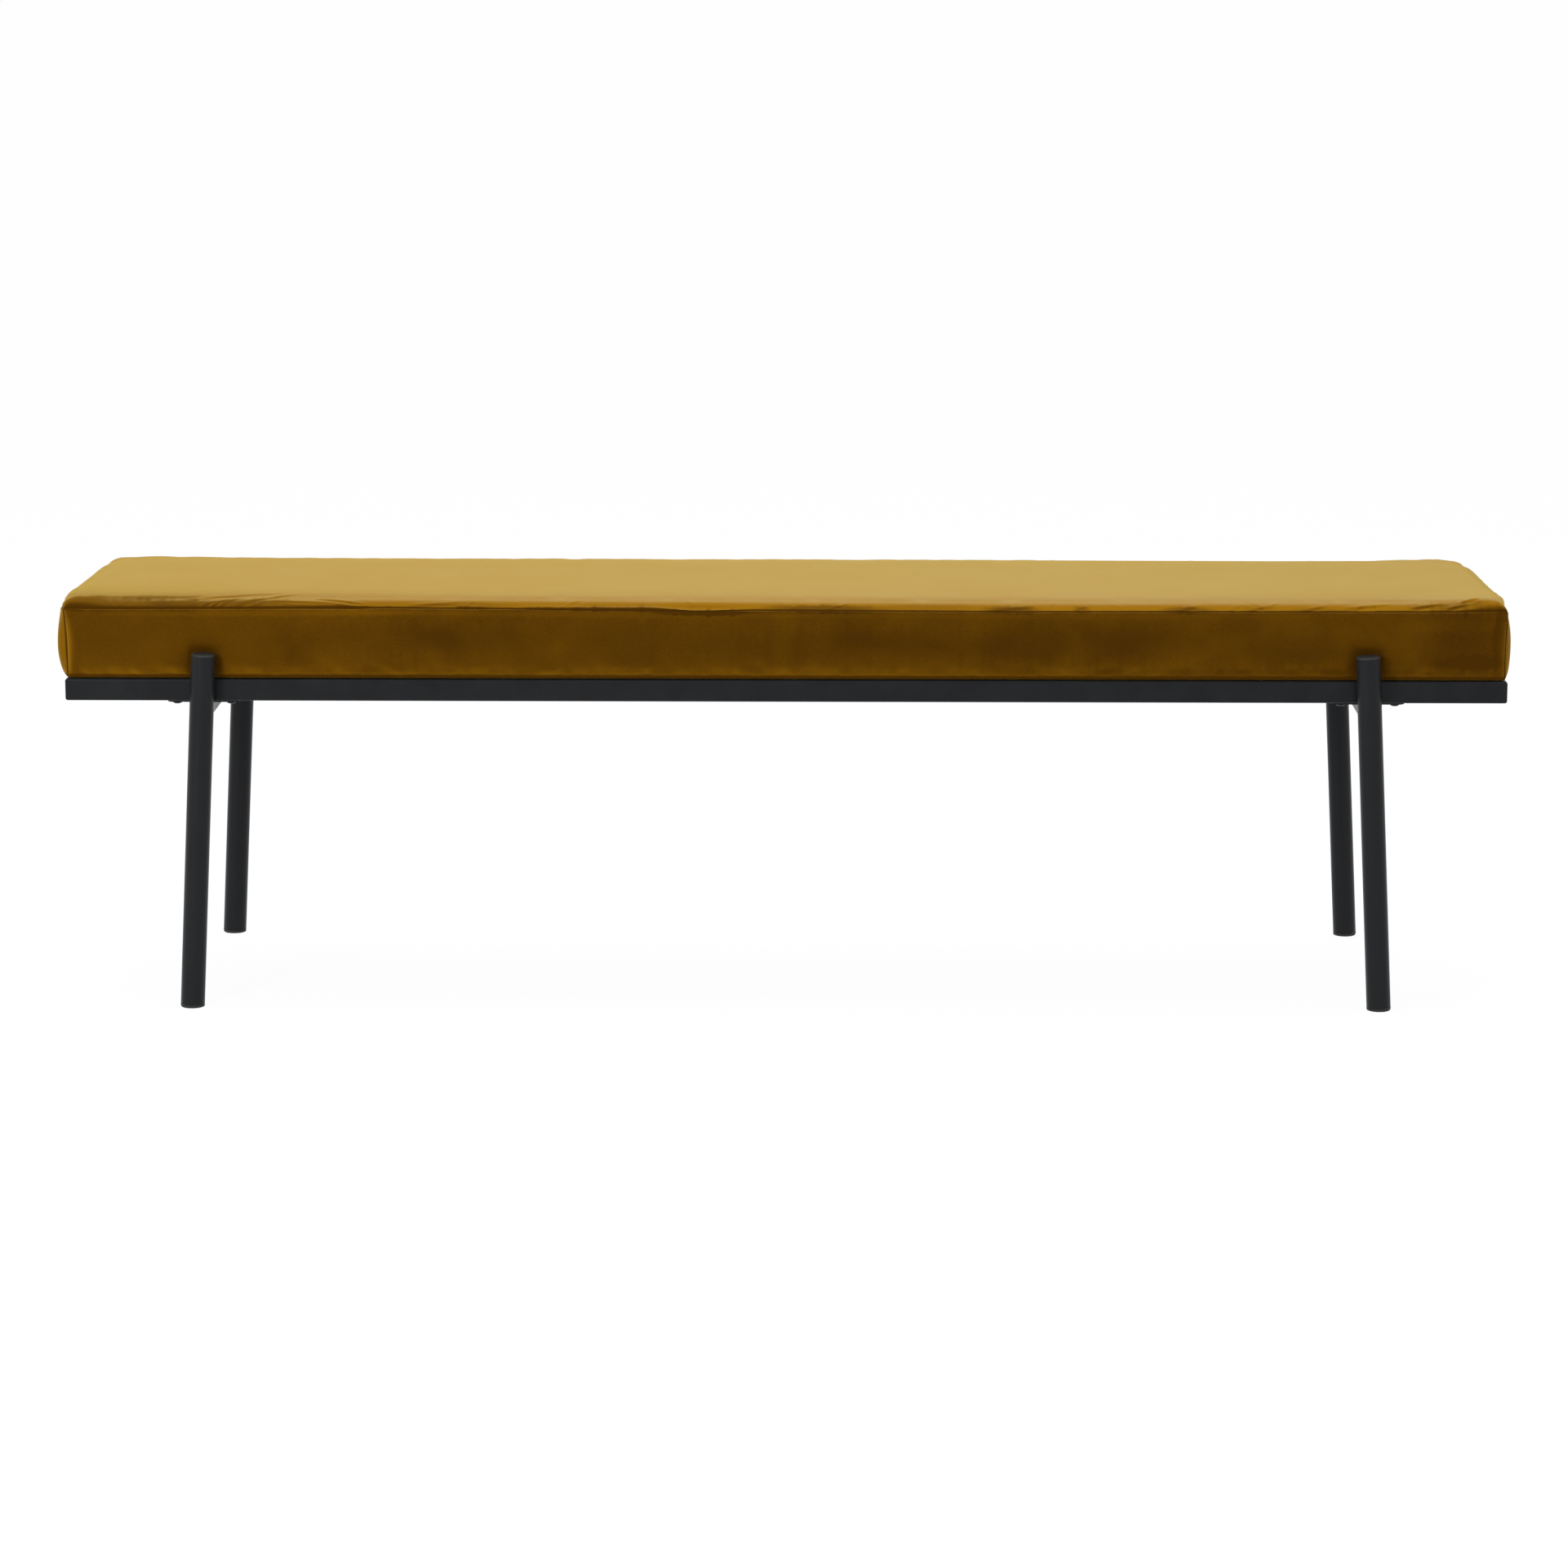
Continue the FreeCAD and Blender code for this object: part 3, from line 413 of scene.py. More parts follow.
cushion = {
    # Sizes in mm, as on the solid cover
    "base": 370.6, "seam": 448.0,
    "cornerAtBase": (797.5, 172.5), "cornerAtSeam": (799.5, 174.5),
    # How far the panels stand out from the line between their corners, by height: left end, right end, long sides
    "bows": ((370.6, 1.5, 0.5, 0.3), (373, 4.5, 2.2, 2.4), (375.5, 6.4, 3.8, 4.2), (381, 9.2, 5.6, 5.2),
             (390.5, 11.8, 6.6, 5.8), (399.8, 12.4, 6.6, 6.1), (409, 12.0, 6.2, 6.1), (418, 11.0, 5.6, 5.7),
             (427.6, 9.6, 4.4, 5.0), (437, 7.4, 2.2, 3.8), (448, 4.8, -2.6, 2.0)),
    "endRun": 14, "sideRun": 90,             # from a corner to where the panel runs straight
    "endFade": 0.5,                          # how much less the ends stand out at the back
    "crownReach": 70, "crownHeight": 12, "rollHeight": 9.5,
    # The rolled edge by place along the front: reach, and 0 for a straight slope to 1 for a full round
    "frontRoll": ((-800, 13, 0.8), (-560, 14, 0.7), (-420, 16, 0.35), (-250, 17.5, 0.2), (560, 17.5, 0.2),
                  (720, 16, 0.35), (800, 14, 0.6)),
    "endReach": (13, 36, 38),                # rolled edge of the ends: in front, at the back left, at the back right
    # Fuller corners in front, slacker ones at the back: place, reach and height
    "corners": ((-780, -135, 26, 70, 3.0), (780, -150, 24, 60, 2.6), (-772, 160, 22, 45, -1.6),
                (788, 160, 24, 50, -3)),
    # How far the rolled edge of the ends hangs out over the seam, how far from a corner that starts, and how much
    # less it is at the back: left, right; and where it hangs out most, in from the seam
    "endRollOut": (9.0, 8.5), "endRollFade": (44, 28), "endRollLoss": (0.5, 0.85),
    "endRollAt": 5.5, "endRollWidth": 5,
    "backCornersIn": (1.2, 7.0),             # how much rounder the back corners are: left, right
    "backCornerReach": (16, 32),             # along the bench, and across it
    "endGrowth": 15, "sideGrowth": 5,        # powers: how soon a bulge dies away inside its panel
    "tuck": 0.6, "tuckHeight": 1.6,          # lower edge, turned under the board
    "hemLift": 0.95, "hemRun": (2.5, 9),     # the hem, pressed up against the board by the dust cloth
    "hemWidth": 35.4,
    # Rows of the mesh: height above the base, and distance in from the top seam
    "upRows": (0, 1.2, 2.8, 5, 9, 16, 26, 37, 48, 58, 66, 71.5, 75, 77.4),
    "inRows": (0, 2.4, 5.4, 9, 13, 18, 25, 36, 52, 72, 96, 122, 148, 174.5),
    "endRows": (0, 2.4, 5.4, 9, 13, 18, 25, 36),
    "columns": 152,                          # along the straight middle
    # Cloth: how far inside the stuffed shape it starts, pressure, the furthest that a point moves, and frames
    "slack": 1.6, "slackRun": 30, "pressure": 4.0, "mostMove": 1.6, "frames": 20,
    "heldHem": 1.0, "heldSeam": 0.9, "heldCorner": 0.7,
    # The front seam and the crown waver along the bench: place, and change of height
    "seamWaver": ((-800, 0), (-560, 1.2), (-435, 2.0), (-235, 1.2), (0, 0.3), (236, -0.9), (436, -0.5), (800, 0)),
    "crownWaver": ((-800, 0), (0, -0.2), (236, -0.6), (400, -2.0), (580, -3.2), (680, -2.4), (800, -1.5)),
    "seamWaverFrom": 60, "crownWaverRun": (-174, 100), "crownWaverIn": 40,
    # Round each leg: clearance, cap over the tube, how round the hollow closes over it, and the softer cloth beside
    "legGap": 0.35, "legCap": 2.4, "dentRound": 1.8,
    "dentSpread": 9.0, "dentFrom": 0.5, "dentDeepest": 3.0, "dentSoftness": 0.75,
    "panelsFrom": 150,                       # from the middle to behind the long sides' panels
    "seamDepth": 1.2, "seamWidth": 0.8,
    # Puckers: how far from the middle and how many, on a long side and on an end; length, slant, width and height
    "puckers": ((780, 30), (160, 10)), "puckerSeed": 11,
    "puckerLength": (4, 18), "puckerSlant": (0.2, 1.6), "puckerWidth": (1.3, 2.4), "puckerHeight": (0.15, 0.45),
    "groove": (0.7, 1.8),                    # under a fold: depth and place, as shares of its height and width
    "ripples": 0.32, "softWaves": 0.4,       # at the lower edge, and over a whole panel
    # Where the rolled front edge hangs over its seam: from, to, by how much; up from the seam; forwards and down
    "lips": ((-310, -120, 1.2), (-150, -38, 3.4)), "lipFull": 2.2, "lipFade": 4, "lipWay": (0.55, 0.85),
    "seatFrom": (15, 60),                    # in from the seam, where the flat of the seat starts
}

# Folds in the rolled front edge, in mm: from (along, above the seam) to (along, above the seam), width, height
folds = (
    (-645, 2.3, -629, 10.0, 1.5, 0.7), (-637, 0.5, -614, 16.5, 1.5, 0.9), (-627, 0.5, -600, 24.2, 1.7, 0.9),
    (-661, 14.0, -559, 42.1, 3.5, 0.8), (-606, 4.1, -540, 34.8, 2.6, 0.8), (-559, 4.2, -462, 1.4, 1.5, 0.7),
    (-572, 10.0, -482, 4.2, 1.9, 0.7), (-523, 16.5, -459, 2.3, 1.8, 0.7), (-499, 4.2, -463, 0.5, 1.3, 0.6),
    (-418, 3.4, -364, 7.2, 2.0, 0.5), (-364, 3.0, -328, 1.4, 1.5, 0.5), (-291, 2.8, -56, 1.6, 2.0, 1.1),
    (49, 1.9, 71, 10.9, 1.6, 0.5), (222, 2.1, 276, 7.0, 2.0, 0.5), (321, 2.4, 334, 7.6, 1.6, 0.4),
    (432, 1.5, 459, 8.7, 2.2, 0.6), (512, 1.9, 535, 8.0, 2.0, 0.5), (570, 1.5, 600, 8.7, 2.0, 0.5),
    (615, 4.0, 670, 10.5, 2.2, 0.6), (690, 4.4, 729, 11.4, 2.0, 0.8), (729, 3.2, 759, 9.7, 1.7, 0.9),
    (742, 8.7, 771, 22.8, 2.4, 0.8),
)

# Where the pile of the front lies another way, in mm: middle (along, above the seam), reach, and the change:
# below zero it lies towards the eye and looks darker. The last rows are painted shade, where the roll hangs over the
# seam.
strokes = (
    (-745, 6, 66, 11, -0.35), (-672, 5, 38, 9, -0.5), (-598, 8, 54, 10, -0.5), (-700, 20, 70, 8, -0.45),
    (-520, 7, 60, 6, -0.15), (-350, 4, 50, 5, -0.3), (-180, 2, 70, 4, -0.35), (43, 2.5, 74, 5.5, -0.9),
    (160, 5, 60, 7, -0.3), (250, 3, 34, 5.5, -0.9), (328, 3.5, 11, 6, -0.6), (444, 2.5, 30, 5, -0.75),
    (524, 4, 24, 5, -0.3), (586, 2, 36, 4, -0.35), (712, 7, 28, 7, -0.5), (752, 8, 28, 9, -0.5),
    (-620, 17, 40, 4, 0.3), (380, 9, 60, 6, 0.25), (650, 5, 40, 5, 0.3), (-620, 32, 200, 15, -0.15),
    # Front panel
    (-799, -40, 5, 44, 1.0), (-560, -5, 240, 4, 0.35), (-150, -6, 260, 4, 0.25), (350, -5, 300, 4, 0.2),
    (-400, -34, 150, 20, -0.28), (60, -40, 190, 22, -0.25), (330, -36, 160, 26, -0.25), (760, -58, 42, 9, -0.6),
    (700, -30, 26, 26, 0.3), (735, -16, 60, 9, 0.2), (-700, -44, 60, 18, 0.1), (790, -30, 8, 30, -0.3),
    (560, -42, 60, 20, -0.2), (745, -38, 70, 50, -0.4), (540, -70, 260, 7, -0.4),
    (-430, -70, 120, 6, -0.15), (-463, -5, 60, 4, 0.25),
    # Painted shade under the roll where it hangs over the seam, and one paler patch below it
    (-93, -2.2, 56, 4.6, -1.4), (-215, 0.6, 90, 2.4, -1.1), (-260, -30, 50, 22, 0.12),
)


def ramp(values, low, high):
    return np.clip((values - low) / (high - low), 0, 1)


def ease(share):
    return share * share * (3 - 2 * share)


def wander(places, shortest, longest, seed):
    # A smooth uneven wave between about -1 and 1, the same on every run
    chance = random.Random(seed)
    total = np.zeros(len(places))
    for wave in range(7):
        length = shortest * (longest / shortest) ** (wave / 6)
        total += np.sin(places * 2 * math.pi / length + chance.uniform(0, 2 * math.pi)) * chance.uniform(0.5, 1)
    return total / 3


def coverGrid():
    # A box cut into rows and columns, and the place in mm on the unsewn box that each of its points stands for
    size = cushion
    halfX, halfY = size["cornerAtSeam"]
    ends = halfX - np.array(size["endRows"])
    middle = np.linspace(-ends[-1], ends[-1], size["columns"] + 1)[1:-1]
    along = np.sort(np.concatenate([-ends, middle, ends]))
    across = halfY - np.array(size["inRows"])
    across = np.unique(np.concatenate([-across, across]))
    levels = (along, across, np.array(size["upRows"]))
    bm = bmesh.new()
    bmesh.ops.create_cube(bm, size=1)
    for axis, rows in enumerate(levels):
        edges = [edge for edge in bm.edges if abs(edge.verts[0].co[axis] - edge.verts[1].co[axis]) > 1e-6]
        bmesh.ops.subdivide_edges(bm, edges=edges, cuts=len(rows) - 2, use_grid_fill=True)
    cube = np.array([vertex.co for vertex in bm.verts]) + 0.5
    flat = np.column_stack([np.interp(cube[:, axis] * (len(rows) - 1), np.arange(len(rows)), rows)
                            for axis, rows in enumerate(levels)])
    bmesh.ops.recalc_face_normals(bm, faces=bm.faces[:])
    return bm, flat


def inwards(flat):
    # Distance in from the top seam, along the bench and across it
    return [half - np.abs(flat[:, axis]) for axis, half in enumerate(cushion["cornerAtSeam"])]


def formCover(flat, slack=0.0):
    # The stuffed shape. The cloth starts inside it by the slack, except along the seams.
    size = cushion
    x, y, up = flat.T
    wall = size["seam"] - size["base"]
    share = up / wall
    u, v = x / size["cornerAtSeam"][0], y / size["cornerAtSeam"][1]
    inX, inY = inwards(flat)
    onTop = up > wall - 1e-3
    tuck = size["tuck"] * (1 - np.sqrt(1 - (1 - ramp(up, 0, size["tuckHeight"])) ** 2))
    lean = tuck + slack * 4 * share * (1 - share)
    cornerX, cornerY = ((1 - share) * low + share * high - lean
                        for low, high in zip(size["cornerAtBase"], size["cornerAtSeam"]))
    heights, leftBow, rightBow, sideBow = np.array(size["bows"]).T
    z = size["base"] + up
    endBow = np.where(x < 0, np.interp(z, heights, leftBow), np.interp(z, heights, rightBow))
    endBow *= 1 - size["endFade"] * ramp(v, -0.8, 1)
    byCornerX = 1 - ramp(inX, 0, size["sideRun"])
    byCornerY = 1 - ramp(inY, 0, size["endRun"])
    outX = u * cornerX + endBow * (1 - byCornerY ** 2) * np.sign(x) * np.abs(u) ** size["endGrowth"]
    sideBows = np.interp(z, heights, sideBow) * (1 - byCornerX ** 2)
    outY = v * cornerY + sideBows * np.sign(y) * np.abs(v) ** size["sideGrowth"]
    out = np.where(x < 0, *size["endRollOut"]) * (1 - np.where(x < 0, *size["endRollLoss"]) * ramp(v, -0.8, 0.8))
    out *= onTop * (1 - np.exp(-(inY / np.where(x < 0, *size["endRollFade"])) ** 2))
    outX += np.sign(x) * out * np.exp(-((inX - size["endRollAt"]) / size["endRollWidth"]) ** 2)
    reachX, reachY = size["backCornerReach"]
    byBackCorner = np.exp(-(inX / reachX) ** 2 - (inY / reachY) ** 2) * (y > 0) * share
    outX -= np.sign(x) * np.where(x < 0, *size["backCornersIn"]) * byBackCorner
    front, backLeft, backRight = size["endReach"]
    reach = front + (np.where(x < 0, backLeft, backRight) - front) * ease(ramp(v, -1, 0.8))
    places, reaches, rounds = np.array(size["frontRoll"]).T
    endLack = 1 - rise(inX, reach, 1.0)
    sideLack = 1 - rise(inY, np.interp(x, places, reaches), np.interp(x, places, rounds))
    height = np.clip(1 - (endLack ** 5 + sideLack ** 5) ** 0.2, 0, 1)     # the greater lack, rounded where they meet
    swell = size["crownHeight"] - slack * ramp(np.minimum(inX, inY), 0, size["slackRun"])
    for placeX, placeY, reachX, reachY, fuller in size["corners"]:
        near = np.exp(-((x - placeX) / reachX) ** 2 - ((y - placeY) / reachY) ** 2)
        swell = swell + fuller * near
    z += size["hemLift"] * (up < 1e-3) * ramp(np.minimum(inX, inY), *size["hemRun"])
    z = np.where(onTop, size["seam"] + height * swell, z)
    return np.column_stack([outX, outY, z])


def rise(inward, reach, roundness):
    # Share of the crown's height at a distance in from the seam
    size = cushion
    lack = (1 - ramp(inward, 0, reach)) ** 2
    roll = (roundness * np.sqrt(1 - lack) + (1 - roundness) * (1 - lack)) * size["rollHeight"]
    crown = 1 - (1 - ramp(inward, reach * 0.7, reach + size["crownReach"])) ** 2
    return (roll + crown * (size["crownHeight"] - size["rollHeight"])) / size["crownHeight"]


def stuff(piece, rest, held):
    # Blows the cover up like a stuffed one, and keeps each point near where it started
    size = cushion
    group = piece.vertex_groups.new(name="held")
    for weight in np.unique(held[held > 0]):
        group.add(np.flatnonzero(held == weight).tolist(), float(weight), "REPLACE")
    cloth = piece.modifiers.new("Cloth", "CLOTH")
    settings = cloth.settings
    settings.use_pressure = True
    settings.uniform_pressure_force = size["pressure"]
    settings.effector_weights.gravity = 0
    settings.vertex_group_mass = "held"
    settings.quality = 6
    settings.mass = 0.35
    settings.tension_stiffness = settings.compression_stiffness = 14
    settings.shear_stiffness = 6
    settings.bending_stiffness = 0.8
    settings.shrink_min = -0.004             # a little loose
    cloth.collision_settings.use_collision = False
    cloth.collision_settings.use_self_collision = False
    cloth.point_cache.frame_end = size["frames"]
    scene = bpy.context.scene
    for frameNumber in range(1, size["frames"] + 1):
        scene.frame_set(frameNumber)
    evaluated = piece.evaluated_get(bpy.context.evaluated_depsgraph_get())
    moved = np.empty(len(rest) * 3)
    evaluated.data.vertices.foreach_get("co", moved)
    moved = moved.reshape(-1, 3) / mm - rest
    piece.modifiers.remove(cloth)
    scene.frame_set(1)
    distance = np.linalg.norm(moved, axis=1, keepdims=True)
    print("cloth moved", distance.mean().round(2), "mm on average,", distance.max().round(2), "at most")
    return rest + moved * np.minimum(1, size["mostMove"] / np.maximum(distance, 1e-9))


legNodes = ("front_left_leg", "rear_left_leg", "front_right_leg", "rear_right_leg")


def legAxes():
    # Of each leg, in mm: its place at the floor along the bench and across it, its lean along the bench for each mm
    # up, its radius and the top of its cap
    axes = []
    for name in legNodes:
        low, high = (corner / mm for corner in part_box(name))
        radius = (high.y - low.y) / 2
        end = -1 if low.x < 0 else 1
        lean = -end * math.tan(math.radians(turned["splay"]))
        foot = (low.x + high.x - (low.z + high.z) * lean) / 2
        axes.append((foot, (low.y + high.y) / 2, lean, radius, high.z + cushion["legCap"]))
    return axes


def pressLegsIn(points):
    # The legs stand against the cushion's sides: the cloth gives way round each, and closes over its end
    size = cushion
    for foot, y, lean, radius, top in legAxes():
        clear = radius + size["legGap"]
        side = math.copysign(1, y)
        out = side * points[:, 1]
        across = np.abs(points[:, 0] - (foot + lean * points[:, 2]))
        above = np.clip(points[:, 2] - top, 0, None)
        reach = clear * np.sqrt(np.clip(1 - (above / clear * size["dentRound"]) ** 2, 0, 1))
        deepest = side * y - np.sqrt(np.clip(reach ** 2 - across ** 2, 0, None))
        cut = np.where(across < reach, np.clip(out - deepest, 0, None), 0)
        fade = size["dentSpread"]
        near = np.exp(-(np.clip(across - clear * size["dentFrom"], 0, None) / fade) ** 2 - (above / fade) ** 2)
        soft = near * np.clip(out - (side * y - clear), 0, size["dentDeepest"]) * size["dentSoftness"]
        points[:, 1] -= np.where(out > size["panelsFrom"], side * np.maximum(cut, soft), 0)
    return points


def sewAndCrease(points, normals, flat):
    # Seams drawn in, the folds of the front edge, puckers beside the other seams and ripples at the lower edge
    size = cushion
    x, y, up = flat.T
    wall = size["seam"] - size["base"]
    inX, inY = inwards(flat)
    above = np.where(up < wall - 1e-3, up - wall, np.minimum(inX, inY))
    fromCorner = np.where(above < 0, np.maximum(inX, inY), 1e3)
    height = -size["seamDepth"] * np.exp(-(above / size["seamWidth"]) ** 2)
    height -= size["seamDepth"] * np.exp(-(fromCorner / size["seamWidth"]) ** 2) * ramp(up, 0, 6)
    bySide = inY < inX + 1e-3
    front = bySide & (y < 0)
    for x1, w1, x2, w2, width, rises in folds:
        height += front * foldHeight(x, above, (x1, w1), (x2, w2), width, rises)
    chance = random.Random(size["puckerSeed"])
    onSides, onEnds = size["puckers"]
    for isHere, along, (limit, count) in ((bySide & (y > 0), x, onSides), (~bySide & (x < 0), y, onEnds),
                                          (~bySide & (x > 0), y, onEnds), (front, x, onSides)):
        for _ in range(count):
            start = chance.uniform(-limit, limit)
            length = chance.uniform(*size["puckerLength"])
            slant = chance.choice((-1, 1)) * chance.uniform(*size["puckerSlant"])
            height += isHere * foldHeight(along, above, (start, 1.0), (start + slant * length, 1 + length),
                                          chance.uniform(*size["puckerWidth"]), chance.uniform(*size["puckerHeight"]))
    along = np.where(bySide, x, y)
    ripple = wander(along + 400 * (y > 0), 14, 90, seed=5) * np.exp(-((above + wall - 5) / 5) ** 2)
    soft = wander(along + above * 0.6, 45, 260, seed=8) * np.sin(math.pi * ramp(-above, 0, wall)) * (above < 0)
    height = (height + size["ripples"] * ripple + size["softWaves"] * soft) * ramp(up, 0, 1.5)
    points = points + normals * height[:, None]
    for low, high, hang in size["lips"]:
        lip = front * np.sin(math.pi * ramp(x, low, high)) ** 1.5 * hang
        lip *= np.exp(-(np.clip(above - size["lipFull"], 0, None) / size["lipFade"]) ** 2)
        lip *= ease(ramp(above, -0.2, size["lipFull"]))
        points[:, 1] -= lip * size["lipWay"][0]
        points[:, 2] -= lip * size["lipWay"][1]
    return points


def foldHeight(along, above, start, end, width, rises):
    # A ridge from start to end with a shallow groove under it, fading at both ends
    way = np.array(end) - np.array(start)
    length = np.hypot(*way)
    way = way / length
    onX, onUp = along - start[0], above - start[1]
    share = (onX * way[0] + onUp * way[1]) / length
    off = -onX * way[1] + onUp * way[0]
    fade = np.sqrt(np.clip(1 - (2 * share - 1) ** 2, 0, 1))
    side = math.copysign(1, way[0])
    deep, under = cushion["groove"]
    ridge = np.exp(-(off / width) ** 2) - deep * np.exp(-((side * off + under * width) / width) ** 2)
    return rises * fade * ridge


# How the pile lies elsewhere, and the painted shade along the seams, under the lower edge and round the legs, as
# changes to the same value, with places and reaches in mm
lies = {
    "uneven": 0.35,                          # edges of the strokes above
    # painted shade along the seams, where the cloth is drawn in
    "seams": 0.8, "seamReach": 1.2,
    "lowBand": (0.09, 0.07), "lowBandRun": (0, 500), "lowBandAt": 8, "lowBandReach": 3.5,
    "under": 1.5, "underRun": (2.4, 5.0),
    "ends": 0.45,
    "seat": (0.24, 0.16), "seatRun": (-500, 700),
    "seatCorner": (0.4, -800, -175, 330, 90),     # change, place and reach
    # painted contact shade round the legs, where the pile is also pressed flat
    "legs": 0.9, "legReach": 7, "legFrom": 0.55, "legOver": 9,
}


def pileLieAndShade(points, flat):
    # How the pile lies: above zero it catches the light, below zero it looks dark. It also carries painted shade:
    # along the seams, under the lower edge, round the legs and under the overhanging roll.
    size = cushion
    x, y, up = flat.T
    inX, inY = inwards(flat)
    wall = size["seam"] - size["base"]
    above = np.where(up < wall - 1e-3, up - wall, np.minimum(inX, inY))
    front = (inY < inX + 1e-3) & (y < 0)
    lie = np.zeros(len(points))
    jitter = 1 + lies["uneven"] * wander(x, 9, 70, seed=3)
    for along, over, reachX, reachW, change in strokes:
        distance = np.hypot((x - along) / reachX, (above - over) / reachW * jitter)
        lie += front * change * (1 - ease(ramp(distance, 0.35, 1.25)))
    low = above + wall
    # Painted shade along the seams, where the cloth is drawn in
    lie -= lies["seams"] * np.exp(-(above / lies["seamReach"]) ** 2)
    # A paler band over the lower edge, less so at the right
    band = lies["lowBand"][0] - lies["lowBand"][1] * ramp(x, *lies["lowBandRun"])
    band = band * np.exp(-((low - lies["lowBandAt"]) / lies["lowBandReach"]) ** 2)
    lie += band * (1 + wander(x + y, 12, 80, seed=9)) * (above < 0)
    lie -= lies["under"] * (1 - ramp(low, *lies["underRun"]))     # turned under, where no light reaches the pile
    lie -= lies["ends"] * (inY > inX + 1e-3) * (above < 0)
    # The seat, darker at the left, most of all in the front left corner
    change, placeX, placeY, reachX, reachY = lies["seatCorner"]
    corner = change * np.exp(-((x - placeX) / reachX) ** 2 - ((y - placeY) / reachY) ** 2)
    lie += (above > 0) * (lies["seat"][0] * ramp(x, *lies["seatRun"]) - lies["seat"][1] - corner)
    # Darker round the legs: painted contact shade, and the pile pressed flat there
    for foot, legY, lean, radius, top in legAxes():
        across = (points[:, 0] - (foot + lean * points[:, 2])) / (radius + lies["legReach"])
        over = np.clip(points[:, 2] - top, 0, None) / lies["legOver"]
        near = np.exp(-np.clip(np.abs(across) - lies["legFrom"], 0, None) ** 2 * 8 - over ** 2)
        lie -= lies["legs"] * near * (points[:, 1] * math.copysign(1, legY) > cushion["panelsFrom"])
    return lie


def makeCushion():
    size = cushion
    bm, flat = coverGrid()
    wall = size["seam"] - size["base"]
    rest = formCover(flat, size["slack"])
    for vertex, place in zip(bm.verts, rest):
        vertex.co = place * mm
    x, y, up = flat.T
    inX, inY = inwards(flat)
    atCorner = (inX < 1e-3) & (inY < 1e-3)
    atSeam = (up > wall - 1e-3) & (np.minimum(inX, inY) < 1e-3)
    held = np.where(atSeam, size["heldSeam"], np.where(atCorner, size["heldCorner"], 0.0))
    held = np.where(up < 1e-3, size["heldHem"], held)
    piece = newPiece("velvetCover", bm, finishes["velvet"], replaced=(
        "cover_top", "cover_front", "cover_rear", "cover_left_end", "cover_right_end", "wadding", "foam_block"))
    places = piece.data.attributes.new("flat", "FLOAT_VECTOR", "POINT")
    places.data.foreach_set("vector", flat.ravel())
    formed = formCover(flat)
    points = stuff(piece, rest, held)
    still = (up < 1e-3) | atSeam
    points[still] = formed[still]
    byFront = ramp(-y, size["seamWaverFrom"], size["cornerAtSeam"][1])
    points[:, 2] += np.interp(x, *zip(*size["seamWaver"])) * ease(ramp(up, wall * 0.3, wall)) * byFront
    # The crown alone: the hem under it stays where it is
    byCrown = ease(ramp(np.minimum(inX, inY), 0, size["crownWaverIn"])) * ease(ramp(y, *size["crownWaverRun"]))
    points[:, 2] += np.interp(x, *zip(*size["crownWaver"])) * byCrown * (up > wall - 1e-3)
    piece.data.vertices.foreach_set("co", (pressLegsIn(points) * mm).ravel())
    refineCover(piece)
    return piece


def readCover(mesh):
    # Points and normals in metres, and the places on the unsewn box in mm
    points, normals, flat = (np.empty(len(mesh.vertices) * 3) for _ in range(3))
    mesh.vertices.foreach_get("co", points)
    mesh.vertex_normals.foreach_get("vector", normals)
    mesh.attributes["flat"].data.foreach_get("vector", flat)
    return [values.reshape(-1, 3) for values in (points, normals, flat)]


def refineCover(piece):
    finer = piece.modifiers.new("Subdivision", "SUBSURF")
    finer.levels = finer.render_levels = 2
    evaluated = piece.evaluated_get(bpy.context.evaluated_depsgraph_get())
    mesh = bpy.data.meshes.new_from_object(evaluated)
    piece.modifiers.clear()
    piece.vertex_groups.clear()
    piece.data = mesh
    points, normals, flat = readCover(mesh)
    points = pressLegsIn(sewAndCrease(points / mm, normals, flat))
    mesh.vertices.foreach_set("co", (points * mm).ravel())
    # The lie of the pile, with its painted shade
    lie = mesh.attributes.new("pileLieAndShade", "FLOAT", "POINT")
    lie.data.foreach_set("value", pileLieAndShade(points, flat))
    # Share of the seat's lighter colours, a painted sheen of the top, rising in from the seam
    seatSheenShare = mesh.attributes.new("seatSheenShare", "FLOAT", "POINT")
    inward = np.minimum(*inwards(flat)) * (flat[:, 2] > cushion["seam"] - cushion["base"] - 1e-3)
    seatSheenShare.data.foreach_set("value", ease(ramp(inward, *cushion["seatFrom"])))
    openHem(mesh, flat)
    print("cushion stuffed and creased,", len(mesh.polygons), "faces")


def openHem(mesh, flat):
    # The cover is folded under the board as a hem, and open inside it
    hemX, hemY = (half - cushion["hemWidth"] for half in cushion["cornerAtSeam"])
    inside = (flat[:, 2] < 1e-3) & (np.abs(flat[:, 0]) < hemX) & (np.abs(flat[:, 1]) < hemY)
    bm = bmesh.new()
    bm.from_mesh(mesh)
    bm.verts.ensure_lookup_table()
    faces = [face for face in bm.faces if all(inside[vertex.index] for vertex in face.verts)]
    bmesh.ops.delete(bm, geom=faces, context="FACES")
    bm.to_mesh(mesh)
    bm.free()


# Legs, their caps and glides, and the bolts: turned shapes

